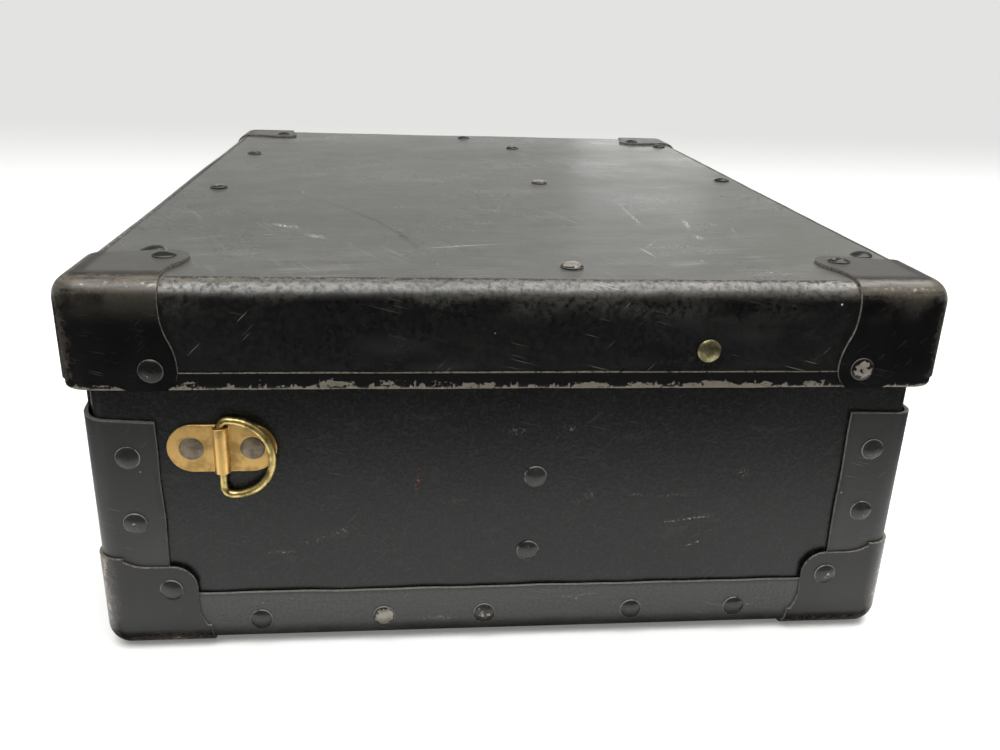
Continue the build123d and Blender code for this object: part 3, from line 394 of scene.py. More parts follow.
def strip_fibre():
    """Thinner grey-black fibre, bent while damp: matt, with pale rubbed edges."""
    made, tree, shader, place = start("grey_black_fibre_strip")
    cloud = mottle(tree, place, 20 * MM, 5.0, seed=5)
    fine = mottle(tree, place, 1.3 * MM, 5.0, 0.7, seed=6)
    edge = add(tree, "Attribute", {}, "Fac", attribute_name="rubbed")
    height = add(tree, "SeparateXYZ", {0: place}).node.outputs[2]
    # lighter low down, below about 24 to 29 mm, in patches
    low = add(tree, "MapRange", {0: height, 1: 29 * MM, 2: 24 * MM}, **SMOOTH)
    lighter_low_down = add(tree, "MapRange", {0: cloud, 1: 0.25, 2: 0.75, 3: 0.5})
    lighter_low_down = add(tree, "Math", {0: low, 1: lighter_low_down}, **TIMES)
    nap = add(tree, "MapRange", {0: fine, 1: 0.40, 2: 0.66, 4: 0.55}, **SMOOTH)
    worn = add(tree, "Math", {0: fine, 1: 0.8, 2: edge}, **TIMES_PLUS)
    worn = add(tree, "MapRange", {0: worn, 1: 1.05, 2: 1.5}, **SMOOTH)
    straw = rubbed_marks(tree, place, (
        (-104.5, 21.2, 12, 1.6, 0), (-83, 12, 8, 2.4, 0), (-29, 11.5, 22, 2.2, 0),
        (-37, 11.5, 7, 1.8, 0), (30, 21, 20, 2, 4), (104, 14, 14, 2, 0)), "front")
    pink = rubbed_marks(tree, place, ((-90, 4.2, 44, 1.8, -2), (-50, 4.6, 22, 1.2, 2)), "front")
    dust = specks(tree, place, 8 * MM, 0.5 * MM, 0.2, 3)
    lines = wall_scratches(tree, place, 20 * MM, 0.4 * MM, 0.3, 5)
    dust = add(tree, "Math", {0: lines, 1: 0.4, 2: dust}, **TIMES_PLUS, use_clamp=True)
    colour = coats(tree, "#131414", (cloud, "#232322"), (lighter_low_down, "#3d3e3a"), (nap, "#0f1010"),
                   (worn, "#7b7871"), (straw, "#7d795f"), (pink, "#84474a"), (dust, "#8f8f88"))
    rough = add(tree, "MapRange", {0: cloud, 1: 0.3, 2: 0.7, 3: 0.36, 4: 0.5})
    normal = add(tree, "Bump", {"Height": fine, "Distance": 0.08 * MM, "Strength": 0.6})
    give(tree, shader, Base_Color=colour, Roughness=rough, Normal=normal, IOR=1.5)
    return made


def cap_steel(name, half_x, half_y, level, wear, enamel, worn_enamel, gloss):
    """Pressed steel under black stove enamel: glossy where it is whole, rubbed through to
    brownish bare metal on the corners and bends."""
    made, tree, shader, place = start(name)
    reach = 13 * MM              # how far in from an edge the rubbing starts
    cloud = mottle(tree, place, 18 * MM, 4.0, seed=2)
    fine = mottle(tree, place, 2.4 * MM, 7.0, 0.72, seed=4)
    edge = closeness(tree, place, half_x, half_y, level, reach)
    rub = add(tree, "Math", {0: fine, 1: 1.1, 2: edge}, **TIMES_PLUS)
    rub = add(tree, "Math", {0: cloud, 1: 0.5, 2: rub}, **TIMES_PLUS)
    bare = add(tree, "MapRange", {0: rub, 1: 1.80 - wear, 2: 2.05 - wear}, **SMOOTH)
    thin = add(tree, "MapRange", {0: rub, 1: 1.45 - wear, 2: 1.9 - wear}, **SMOOTH)
    cut = add(tree, "MapRange", {0: fine, 1: 0.4, 2: 0.65}, **SMOOTH)
    metal = coats(tree, "#6b6156", (cut, "#a39b90"))
    colour = coats(tree, enamel, (cloud, worn_enamel), (thin, "#3f3a34"))
    if level > reach:            # the lid's caps share its roll and its film
        # the film is dust and painted sheen; the rubbed band is partly a painted highlight
        dirt, rubbed, haze = roll_wear(tree, place, level, edge, fine)
        height = add(tree, "SeparateXYZ", {0: place}).node.outputs[2]
        dust_and_sheen_film = add(tree, "MapRange", {0: height, 1: level - 1.2 * MM, 2: level - 0.3 * MM},
                   **SMOOTH)
        dust_and_sheen_shade = coats(tree, "#33312e", (cloud, "#4a4742"))
        hazy = where(tree, haze, cloud, 0.38, 0.62)
        streak = mottle(tree, place, 1.0 * MM, 4.0, 0.6, stretch=(14, 14, 1), seed=7)
        rubbed_and_painted_highlight = where(tree, rubbed, streak, 0.32, 0.6)
        colour = coats(tree, colour, (hazy, "#35322c"), (dust_and_sheen_film, dust_and_sheen_shade), (dirt, "#191714"),
                       (rubbed_and_painted_highlight, "#5a5348"))
        bare = add(tree, "Math", {0: bare, 1: dust_and_sheen_film}, operation="SUBTRACT", use_clamp=True)
        thin = add(tree, "Math", {0: thin, 1: dust_and_sheen_film}, operation="ADD")
    lines = wall_scratches(tree, place, 13 * MM, 0.35 * MM, 0.3, 5)
    dust = specks(tree, place, 7 * MM, 0.5 * MM, 0.2, 3)
    lines = add(tree, "Math", {0: lines, 1: 0.16, 2: dust}, **TIMES_PLUS, use_clamp=True)
    colour = coats(tree, colour, (bare, metal), (lines, "#8b857c"))
    shine = add(tree, "MapRange", {0: cloud, 1: 0.3, 2: 0.7, 3: 0.16, 4: 0.28})
    rough = add(tree, "Math", {0: thin, 1: 0.16, 2: shine}, **TIMES_PLUS)
    normal = add(tree, "Bump", {"Height": bare, "Distance": 0.05 * MM, "Strength": 0.5},
                 invert=True)
    give(tree, shader, Base_Color=colour, Roughness=rough, Normal=normal,
         Specular_IOR_Level=gloss, Metallic=add(tree, "Math", {0: bare, 1: 0.4}, **TIMES))
    return made


def band_steel():
    """Thin folded steel under the same enamel, flaked off along its lower fold."""
    made, tree, shader, place = start("japanned_steel_rim_band")
    height = add(tree, "SeparateXYZ", {0: place}).node.outputs[2]
    across = mottle(tree, place, 4.6 * MM, 6.0, 0.62, stretch=(2.6, 2.6, 0.9), seed=3)
    drips = mottle(tree, place, 3.4 * MM, 6.0, 0.62, stretch=(0.8, 0.8, 1.9), seed=12)
    regions = mottle(tree, place, 60 * MM, 2.0, 0.5, seed=5)
    small = mottle(tree, place, 1.3 * MM, 4.0, 0.7, seed=8)
    flakes = add(tree, "Math", {0: drips, 1: 0.03}, operation="SUBTRACT")
    flakes = add(tree, "Math", {0: across, 1: flakes}, **MOST)
    low = add(tree, "MapRange", {0: height, 1: rim_z + 6.0 * MM, 2: rim_z + 0.3 * MM, 4: 0.28})
    flakes = add(tree, "Math", {0: flakes, 1: low}, operation="ADD")
    flakes = add(tree, "Math", {0: small, 1: 0.24, 2: flakes}, **TIMES_PLUS)
    flakes = add(tree, "Math", {0: regions, 1: 0.10, 2: flakes}, **TIMES_PLUS)
    bare = add(tree, "MapRange", {0: flakes, 1: 0.925, 2: 0.945}, **SMOOTH)
    top_line, fold_line = (add(tree, "MapRange", {0: height, 1: begins, 2: full}, **SMOOTH)
                           for begins, full in ((band_high.z - 0.5 * MM, band_high.z - 0.2 * MM),
                                                (rim_z + 0.9 * MM, rim_z + 0.4 * MM)))
    lines = add(tree, "Math", {0: top_line, 1: fold_line}, **MOST)
    bare = add(tree, "Math", {0: bare, 1: where(tree, lines, small, 0.36, 0.5)}, **MOST)
    metal = coats(tree, "#4d473d", (small, "#8f8779"))
    rough = add(tree, "MapRange", {0: bare, 3: 0.2, 4: 0.5})
    normal = add(tree, "Bump", {"Height": bare, "Distance": 0.08 * MM, "Strength": 0.8},
                 invert=True)
    give(tree, shader, Base_Color=coats(tree, "#0d0d0d", (bare, metal)), Roughness=rough,
         Normal=normal, Metallic=add(tree, "Math", {0: bare, 1: 0.4}, **TIMES))
    return made


def rivet_paint(name, dark, light, rubbed, gloss):
    """Steel rivets painted black with the case: glossy domes, with a light ring round the rim
    that is rubbed paint and also a painted highlight, and chipped where knocked.  The chipped
    share of each head is its own number on the mesh."""
    made, tree, shader, place = start(name)
    fine = mottle(tree, place, 2.2 * MM, 5.0, 0.65, seed=4)
    soft = mottle(tree, place, 5 * MM, 3.0, 0.6, seed=1)
    chipped, rim = (add(tree, "Attribute", {}, "Fac", attribute_name=label)
                    for label in ("chipped", "rim"))
    knocked = add(tree, "Math", {0: chipped, 1: 0.62, 2: fine}, **TIMES_PLUS)
    knocked = add(tree, "Math", {0: rim, 1: -0.5, 2: knocked}, **TIMES_PLUS)
    bare = add(tree, "MapRange", {0: knocked, 1: 0.74, 2: 0.80}, **SMOOTH)
    # the light ring round the rim: rubbed paint, and a painted highlight
    around = add(tree, "MapRange", {0: rim, 1: 0.55, 2: 0.95}, **SMOOTH)
    around = where(tree, around, soft, 0.34, 0.5)
    metal = coats(tree, "#6a6359", (fine, "#a09a90"))
    colour = coats(tree, dark, (soft, light), (around, rubbed), (bare, metal))
    rough = add(tree, "MapRange", {0: soft, 1: 0.3, 2: 0.7, 3: 0.16, 4: 0.3})
    normal = add(tree, "Bump", {"Height": bare, "Distance": 0.05 * MM, "Strength": 0.6},
                 invert=True)
    give(tree, shader, Base_Color=colour, Roughness=rough, Normal=normal,
         Specular_IOR_Level=gloss, Metallic=add(tree, "Math", {0: bare, 1: 0.3}, **TIMES))
    return made


def worn_rivets():
    """Rivets of the ring plate, their paint rubbed off to flat brown-grey steel."""
    made, tree, shader, place = start("rubbed_brown_steel_rivets")
    fine = mottle(tree, place, 3.5 * MM, 5.0, 0.6, seed=4)
    worn = add(tree, "MapRange", {0: fine, 1: 0.3, 2: 0.7}, **SMOOTH)
    give(tree, shader, Base_Color=coats(tree, "#4a4035", (worn, "#7f725f")), Metallic=0.3,
         Roughness=add(tree, "MapRange", {0: fine, 3: 0.3, 4: 0.5}))
    return made


def fitting_steel():
    """Stamped steel hinges, catches and handle loops under black enamel, bare at the edges."""
    made, tree, shader, place = start("japanned_steel_fittings")
    cloud = mottle(tree, place, 12 * MM, 4.0, seed=2)
    fine = mottle(tree, place, 1.8 * MM, 6.0, 0.7, seed=4)
    rub = add(tree, "Math", {0: cloud, 1: 0.5, 2: fine}, **TIMES_PLUS)
    bare = add(tree, "MapRange", {0: rub, 1: 0.94, 2: 0.99}, **SMOOTH)
    metal = coats(tree, "#6b6156", (fine, "#9d958a"))
    rough = add(tree, "MapRange", {0: cloud, 1: 0.3, 2: 0.7, 3: 0.24, 4: 0.42})
    normal = add(tree, "Bump", {"Height": fine, "Distance": 0.04 * MM, "Strength": 0.5})
    give(tree, shader, Base_Color=coats(tree, "#1c1b1a", (bare, metal)), Roughness=rough,
         Normal=normal, Metallic=add(tree, "Math", {0: bare, 1: 0.85}, **TIMES))
    return made


def bare_steel():
    """Cut edges of the pressed steel, bare and dulled."""
    made, tree, shader, place = start("bare_dulled_steel_edge")
    fine = mottle(tree, place, 1.2 * MM, 4.0, 0.6, seed=4)
    dulled = add(tree, "MapRange", {0: fine, 1: 0.35, 2: 0.6}, **SMOOTH)
    give(tree, shader, Base_Color=coats(tree, "#55514a", (dulled, "#8c877d")), Metallic=0.2,
         Roughness=add(tree, "MapRange", {0: fine, 3: 0.3, 4: 0.55}))
    return made


def aged_brass(name, bright, dull, patch):
    """Rolled or drawn brass, gone golden brown, with darker tarnish in small spots."""
    made, tree, shader, place = start(name)
    cloud = mottle(tree, place, patch, 4.0, 0.6, seed=3)
    fine = mottle(tree, place, 0.9 * MM, 4.0, 0.7, seed=5)
    dulled = add(tree, "MapRange", {0: cloud, 1: 0.4, 2: 0.66}, **SMOOTH)
    pits = add(tree, "MapRange", {0: fine, 1: 0.64, 2: 0.74}, **SMOOTH)
    rough = add(tree, "MapRange", {0: cloud, 1: 0.3, 2: 0.7, 3: 0.3, 4: 0.42})
    normal = add(tree, "Bump", {"Height": fine, "Distance": 0.02 * MM, "Strength": 0.5})
    give(tree, shader, Base_Color=coats(tree, bright, (dulled, dull), (pits, "#4a3a20")),
         Roughness=rough, Metallic=0.9, Normal=normal)
    return made


def pine():
    """Planed softwood battens, grain along their length, darkened by age."""
    made, tree, shader, place = start("planed_pine")
    rings = mottle(tree, place, 2.4 * MM, 4.0, 0.6, stretch=(1, 45, 1))
    late = add(tree, "MapRange", {0: rings, 1: 0.35, 2: 0.65}, **SMOOTH)
    normal = add(tree, "Bump", {"Height": rings, "Distance": 0.08 * MM, "Strength": 0.6})
    give(tree, shader, Base_Color=coats(tree, "#7c5b38", (late, "#ad8656")), Normal=normal,
         Roughness=add(tree, "MapRange", {0: rings, 3: 0.5, 4: 0.7}))
    return made


def bridle_leather():
    """Dark stuffed leather, polished by the hand, with fine pores."""
    made, tree, shader, place = start("dark_bridle_leather")
    pores = mottle(tree, place, 0.9 * MM, 4.0, 0.65)
    cloud = mottle(tree, place, 14 * MM, 4.0, seed=2)
    normal = add(tree, "Bump", {"Height": pores, "Distance": 0.12 * MM, "Strength": 0.8})
    give(tree, shader, Base_Color=coats(tree, "#1a100b", (cloud, "#3a281b")), Normal=normal,
         Roughness=add(tree, "MapRange", {0: cloud, 3: 0.3, 4: 0.55}))
    return made


def waxed_thread():
    """Linen thread, waxed and gone brown."""
    made, tree, shader, place = start("waxed_linen_thread")
    fibres = mottle(tree, place, 0.3 * MM, 3.0)
    give(tree, shader, Base_Color=coats(tree, "#6d5a41", (fibres, "#a08a66")), Roughness=0.7)
    return made


LID_FIBRE = lid_fibre()
WALL_FIBRE = wall_fibre()
STRIP_FIBRE = strip_fibre()
LID_CAP = cap_steel("japanned_steel_lid_caps", *lid_cap_high, 0.22, "#070708", "#0f0e0e", 0.36)
FOOT_CAP = cap_steel("japanned_steel_bottom_caps", foot_high.x, foot_high.y, 0.0, 0.34,
                     "#111110", "#1a1918", 0.34)
BAND_STEEL = band_steel()
# one black paint in two copies: the lid's rivets painted darker, as painted shade, and the body's
# lighter with brighter rims, as painted light
LID_RIVET = rivet_paint("black_painted_rivets_painted_darker", "#0a0a0a", "#1b1b1a", "#5b5852", 0.22)
BODY_RIVET = rivet_paint("black_painted_rivets_painted_lighter", "#171717", "#353533", "#85827b", 0.34)
FITTING_STEEL = fitting_steel()
BARE_STEEL = bare_steel()
PLATE_BRASS = aged_brass("rolled_brass_gone_brown", "#dcb470", "#ab8a52", 7 * MM)
RING_BRASS = aged_brass("drawn_brass_ring", "#cdb878", "#7d6d42", 4 * MM)
STUD_BRASS = aged_brass("tarnished_brass_rivet", "#8f8a68", "#5b563b", 3 * MM)
PINE = pine()
LEATHER = bridle_leather()
THREAD = waxed_thread()
WORN_RIVET = worn_rivets()


# ---- mesh tools ---------------------------------------------------------------------

def into_scene(name, data):
    """A new object for a mesh, a lamp or the camera."""
    made = bpy.data.objects.new(name, data)
    bpy.context.scene.collection.objects.link(made)
    return made


def read(items, label, kind=float):
    """A mesh's own numbers under one label, three for each item, as rows of an array."""
    values = np.empty(len(items) * 3, kind)
    items.foreach_get(label, values)
    return values.reshape(-1, 3)


def quads(rows, columns, close_rows=False, close_columns=False):
    """Four-sided faces between neighbours of a grid of points, wrapped where it closes."""
    r = np.arange(rows if close_rows else rows - 1)[:, None]
    c = np.arange(columns if close_columns else columns - 1)[None, :]
    up, on = (r + 1) % rows, (c + 1) % columns
    corners = (r * columns + c, r * columns + on, up * columns + on, up * columns + c)
    return np.stack(np.broadcast_arrays(*corners), -1).reshape(-1, 4)


def piece(name, points, faces, material, node, smooth=35.0, numbers=()):
    """A new piece from arrays, merged, faces outwards, on the body of the node it stands for.
    Numbers are per-point attributes by name."""
    mesh = bpy.data.meshes.new(name)
    mesh.from_pydata(points.reshape(-1, 3).tolist(), [], faces.tolist())
    for label, values in dict(numbers).items():
        made = mesh.attributes.new(label, "FLOAT", "POINT")
        made.data.foreach_set("value", np.ascontiguousarray(values, np.float32).ravel())
    shape = bmesh.new()
    shape.from_mesh(mesh)
    bmesh.ops.remove_doubles(shape, verts=shape.verts, dist=0.001 * MM)
    bmesh.ops.recalc_face_normals(shape, faces=shape.faces)
    shape.to_mesh(mesh)
    shape.free()
    mesh.materials.append(material)
    mesh.shade_smooth()
    mesh.set_sharp_from_angle(angle=math.radians(smooth))
    made = into_scene(name, mesh)
    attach(made, frame["nodes"][node]["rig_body"])
    return made


def merged_copy(node, material, bevel=0.0, smooth=35.0):
    """A welded copy of a CAD node, softly shaded, its edges broken by a small bevel."""
    source = frame["nodes"][node]
    mesh = bpy.data.meshes.new(node + "_finish")
    shape = bmesh.new()
    shape.from_mesh(source.data)
    bmesh.ops.remove_doubles(shape, verts=shape.verts, dist=0.002 * MM)
    if bevel:
        bmesh.ops.dissolve_limit(shape, angle_limit=math.radians(0.5), verts=shape.verts,
                                 edges=shape.edges)
    shape.to_mesh(mesh)
    shape.free()
    if "custom_normal" in mesh.attributes:
        mesh.attributes.remove(mesh.attributes["custom_normal"])
    mesh.materials.clear()
    mesh.materials.append(material)
    mesh.shade_smooth()
    mesh.set_sharp_from_angle(angle=math.radians(smooth))
    made = into_scene(node + "_finish", mesh)
    if bevel:
        cut = made.modifiers.new("broken_edge", "BEVEL")
        cut.width = bevel
        cut.segments = 2
        cut.limit_method = "ANGLE"
        cut.angle_limit = math.radians(40)
    even = made.modifiers.new("flats_stay_flat", "WEIGHTED_NORMAL")
    even.keep_sharp = True
    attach(made, source["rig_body"])
    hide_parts(node)
    return made


def unevenness(points, shortest, longest, seed):
    """Slow waves in a sheet: six plane sine waves in random directions, summed to about
    -1..1 at each point."""
    rng = np.random.default_rng(seed)
    ways = rng.normal(size=(6, 3))
    ways /= np.linalg.norm(ways, axis=1, keepdims=True)
    ways *= TAU / rng.uniform(shortest, longest, 6)[:, None]
    return np.sin(points @ ways.T + rng.uniform(0, TAU, 6)).sum(1) / 3.0


def knocks(points, spots, depth, radius):
    """Round dents: each a bell curve of the distance to its spot, depth deep, summed."""
    apart = np.linalg.norm(points[:, None, :] - spots[None, :, :], axis=2)
    return -(depth * np.exp(-(apart / radius) ** 2)).sum(1)


def push(made, amount):
    """Move every point of a piece along its normal by amount, a function of the points."""
    mesh = made.data
    points, normals = read(mesh.vertices, "co"), read(mesh.vertex_normals, "vector")
    points += normals * amount(points)[:, None]
    mesh.vertices.foreach_set("co", points.ravel())
    mesh.update()


def rounded_loops(half_x, half_y, radius, run_x, run_y, bend=6):
    """Rounded rectangles, one for each size in the arrays, as loops of points that start at
    the near-left corner's middle and go round by the right.  Each side is half a corner arc,
    a straight run and half an arc; the sides are one side turned by quarter turns."""
    loops = []
    for turn, run in enumerate((run_x, run_y, run_x, run_y)):
        angle = np.concatenate([np.linspace(-0.75, -0.5, bend + 1)[:-1], np.full(run, -0.5),
                                np.linspace(-0.5, -0.25, bend + 1)[:-1]]) * math.pi
        along = np.concatenate([np.zeros(bend), np.linspace(0, 1, run + 1)[:-1], np.ones(bend)])
        length, width = (half_x, half_y) if turn % 2 == 0 else (half_y, half_x)
        u = (radius - length)[:, None] + along * 2 * (length - radius)[:, None] \
            + radius[:, None] * np.cos(angle)
        v = (radius - width)[:, None] + radius[:, None] * np.sin(angle)
        cos, sin = ((1, 0), (0, 1), (-1, 0), (0, -1))[turn]
        loops.append(np.stack([cos * u - sin * v, sin * u + cos * v], -1))
    return np.concatenate(loops, 1)


def quarter(start_angle, end_angle, count):
    """Cosines and sines along an arc."""
    angle = np.radians(np.linspace(start_angle, end_angle, count))
    return np.cos(angle), np.sin(angle)


# ---- lid shell ----------------------------------------------------------------------

def patch(loop, side_x, side_y):
    """Sheet inside a loop of four sides: each point is the blend of the opposite sides' points,
    both ways, less the blend of the four corners."""
    near, right = loop[:side_x + 1], loop[side_x:side_x + side_y + 1]
    far = loop[side_x + side_y:2 * side_x + side_y + 1][::-1]
    left = np.concatenate([loop[2 * side_x + side_y:], loop[:1]])[::-1]
    u = np.linspace(0, 1, side_x + 1)[None, :, None]
    v = np.linspace(0, 1, side_y + 1)[:, None, None]
    blend = (1 - v) * near[None] + v * far[None] + (1 - u) * left[:, None] + u * right[:, None]
    return blend - ((1 - u) * (1 - v) * near[0] + u * (1 - v) * near[-1]
                    + (1 - u) * v * far[0] + u * v * far[-1])


def make_lid_shell():
    """The lid's sheet: a section that goes down the outside of the rolled edge and wall, round
    the rim and up the inside, carried round the lid, and closed by two patches."""
    bottom, ceiling = lid_low.z, lid_top - FIBRE_T
    inner_r = LID_ROLL_R - FIBRE_T
    cos, sin = quarter(90, 0, 9)
    inset = [LID_ROLL_R * (1 - cos)]
    level = [lid_top - LID_ROLL_R * (1 - sin)]
    inset.append(np.zeros(6))
    level.append(np.linspace(lid_top - LID_ROLL_R, bottom, 7)[1:])
    inset.append(np.full(2, FIBRE_T))
    level.append(np.array([bottom, ceiling - inner_r]))
    cos, sin = quarter(0, 90, 6)
    inset.append(FIBRE_T + inner_r * (1 - cos[1:]))
    level.append(ceiling - inner_r * (1 - sin[1:]))
    inset, level = np.concatenate(inset), np.concatenate(level)
    run_x, run_y, bend = 96, 130, 6
    loops = rounded_loops(lid_x - inset, lid_y - inset, LID_CORNER_R - inset, run_x, run_y, bend)
    around = loops.shape[1]
    points = np.concatenate([loops, np.broadcast_to(level[:, None, None],
                                                    (len(level), around, 1))], 2)
    side_x, side_y = run_x + 2 * bend, run_y + 2 * bend
    top, under = patch(points[0], side_x, side_y), patch(points[-1], side_x, side_y)
    wall = quads(len(level), around, close_columns=True)
    sheet = quads(side_y + 1, side_x + 1)
    count = points.shape[0] * around
    every = np.concatenate([points.reshape(-1, 3), top.reshape(-1, 3), under.reshape(-1, 3)])
    faces = np.concatenate([wall, sheet + count, sheet + count + top.shape[0] * top.shape[1]])
    made = piece("lid_shell_sheet", every, faces, LID_FIBRE, "lid_shell")
    rng = np.random.default_rng(11)
    dents = 34
    spots = np.stack([rng.uniform(-0.8, 0.8, dents) * lid_x,
                      np.where(rng.random(dents) < 0.6, -lid_y, lid_y)
                      * rng.uniform(0.985, 1, dents), lid_top - rng.uniform(0, 4, dents) * MM], 1)

    def worn(at):
        slack = np.clip((at[:, 2] - rim_z - 8 * MM) / (8 * MM), 0, 1)
        return (0.18 * MM * (unevenness(at, 90 * MM, 220 * MM, 3) - 1)
                + 0.05 * MM * unevenness(at, 18 * MM, 40 * MM, 4)) * slack \
            + knocks(at, spots, 0.35 * MM, 2.6 * MM)

    push(made, worn)
    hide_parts("lid_shell")


def make_rim_band():
    """Folded band: a closed U section with rounded folds, carried round the rim, its free
    edges and its fold a little uneven."""
    r = 0.8 * MM
    inner = FIBRE_T + BAND_T
    cos, sin = quarter(180, 270, 5)
    inset = np.concatenate([[-BAND_T] * 4, -BAND_T + r + r * cos, inner - r - r * cos[::-1],
                            [inner, inner, FIBRE_T, FIBRE_T, 0, 0]])
    level = np.concatenate([rim_z + np.array([7.0, 5.2, 3.4, 1.8]) * MM, rim_z + r + r * sin,
                            rim_z + r + r * sin[::-1],
                            rim_z + np.array([2.4 * MM, BAND_INSIDE, BAND_INSIDE, BAND_T,
                                              BAND_T, 7.0 * MM])])
    loops = rounded_loops(lid_x - inset, lid_y - inset, LID_CORNER_R - inset, 170, 228)
    points = np.concatenate([loops, np.broadcast_to(level[:, None, None],
                                                    (*loops.shape[:2], 1))], 2)
    flat = points.reshape(-1, 3)
    fold = np.clip(1 - (flat[:, 2] - rim_z) / (2 * MM), 0, 1)
    lip = np.clip((flat[:, 2] - rim_z - 5.5 * MM) / (1.5 * MM), 0, 1)
    flat[:, 2] += fold * 0.16 * MM * unevenness(flat, 14 * MM, 60 * MM, 8) \
        + lip * 0.16 * MM * unevenness(flat, 12 * MM, 50 * MM, 9)
    made = piece("lid_rim_band_fold", flat, quads(*points.shape[:2], True, True), BAND_STEEL,
                 "lid_rim_band")
    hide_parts("lid_rim_band")


# ---- bent strips --------------------------------------------------------------------

def strip_section(leaf_a, leaf_b):
    """Closed section of a bent strip in two coordinates from its corner: leaf a, the bend, and
    leaf b on the outside, then back on the inside, free edges rounded.  The third column is
    how rubbed each point is, most at the free edges and a little on the bend."""
    t, r, e = STRIP_T, BEND_R, 0.35 * MM
    cos, sin = quarter(270, 180, 7)
    outside = np.concatenate([np.stack([np.linspace(leaf_a - e, r, 9), np.zeros(9)], 1),
                              np.stack([r + r * cos, r + r * sin], 1)[1:-1],
                              np.stack([np.zeros(9), np.linspace(r, leaf_b - e, 9)], 1)])
    inner = r - t
    inside = np.concatenate([np.stack([np.linspace(leaf_a - e, r, 9), np.full(9, t)], 1),
                             np.stack([r + inner * cos, r + inner * sin], 1)[1:-1],
                             np.stack([np.full(9, t), np.linspace(r, leaf_b - e, 9)], 1)])
    tip_b = np.array([[e * 0.3, leaf_b - e * 0.3], [e, leaf_b], [t - e, leaf_b],
                      [t - e * 0.3, leaf_b - e * 0.3]])
    tip_a = tip_b[::-1, ::-1] + [leaf_a - leaf_b, 0]
    section = np.concatenate([outside, tip_b, inside[::-1], tip_a])
    from_a, from_b = leaf_a - section[:, 0], leaf_b - section[:, 1]
    rubbed = np.maximum(np.exp(-np.minimum(from_a, from_b) / (0.4 * MM)),
                        0.25 * ((section < r).all(1)))
    return section, rubbed


def make_strip(node, origin, a, b, along, length, leaf_a, leaf_b, slants=(0, 0), seed=1):
    """A bent strip: its section carried along a line; each leaf's far end is cut at its own
    slant, and the free edges lift and wander a little between the rivets."""
    section, rubbed = strip_section(leaf_a, leaf_b)
    steps = max(int(length / (4 * MM)), 12)
    ends = np.array([0.3, 0.8]) * MM / length
    s = np.concatenate([[0], ends, np.linspace(0, 1, steps + 1)[1:-1], 1 - ends[::-1], [1]])
    s = s[:, None]
    cut = length - (slants[0] * section[:, 0] / leaf_a
                    + slants[1] * section[:, 1] / leaf_b)[None, :]
    out_a = (section[:, 0] / leaf_a)[None, :] ** 4
    out_b = (section[:, 1] / leaf_b)[None, :] ** 4
    axes = [np.array(v, float) for v in (a, b, along)]
    spine = s * cut
    wander = unevenness(np.stack([spine.ravel() + seed] * 3, 1), 40 * MM, 130 * MM, seed)
    wander = wander.reshape(spine.shape)
    p = section[:, 0][None, :] + 0.35 * MM * out_a * wander
    q = section[:, 1][None, :] + 0.35 * MM * out_b * wander
    lift = 0.18 * MM * (1 + wander)
    p = p - lift * out_b
    q = q - lift * out_a
    points = (np.array(origin)[None, None] + p[..., None] * axes[0] + q[..., None] * axes[1]
              + spine[..., None] * axes[2])
    rows, columns = points.shape[:2]
    sides = quads(rows, columns, close_columns=True)
    half = columns // 2
    i = np.arange(half - 1)
    end = np.stack([i, i + 1, columns - 2 - i, columns - 1 - i], 1)
    faces = np.concatenate([sides, end, end + (rows - 1) * columns])
    ends = np.exp(-np.minimum(s * length, (1 - s) * length) / (0.4 * MM))
    number = np.maximum(np.broadcast_to(rubbed[None, :], spine.shape), ends)
    made = piece(node + "_bent", points, faces, STRIP_FIBRE, node, 50.0, {"rubbed": number})
    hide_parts(node)


def make_strips():
    """Four corner strips, and the bottom strips of the ends and sides."""
    leaf = strip_high.x - strip_low.x
    length = strip_high.z - strip_low.z
    cuts = {"near_left": (1.6, -5.0), "near_right": (-0.8, 0.5), "far_left": (0.8, -1.2),
            "far_right": (-0.6, 1.0)}
    for seed, (place, cut) in enumerate(cuts.items()):
        sx = 1 if "right" in place else -1
        sy = 1 if "far" in place else -1
        make_strip("corner_strip_" + place, (sx * strip_x, sy * strip_y, strip_low.z),
                   (-sx, 0, 0), (0, -sy, 0), (0, 0, 1), length, leaf, leaf,
                   (cut[0] * MM, cut[1] * MM), seed + 5)
    leaf = base_high.z - base_low.z
    for seed, (place, sy) in enumerate((("near", -1), ("far", 1))):
        make_strip("bottom_strip_" + place, (base_low.x, sy * strip_y, base_low.z), (0, -sy, 0),
                   (0, 0, 1), (1, 0, 0), base_high.x - base_low.x, leaf, leaf, seed=seed + 21)
    for seed, (place, sx) in enumerate((("left", -1), ("right", 1))):
        make_strip("bottom_strip_" + place, (sx * strip_x, side_low.y, side_low.z), (-sx, 0, 0),
                   (0, 0, 1), (0, 1, 0), side_high.y - side_low.y, leaf, leaf, seed=seed + 31)


# ---- rivets -------------------------------------------------------------------------

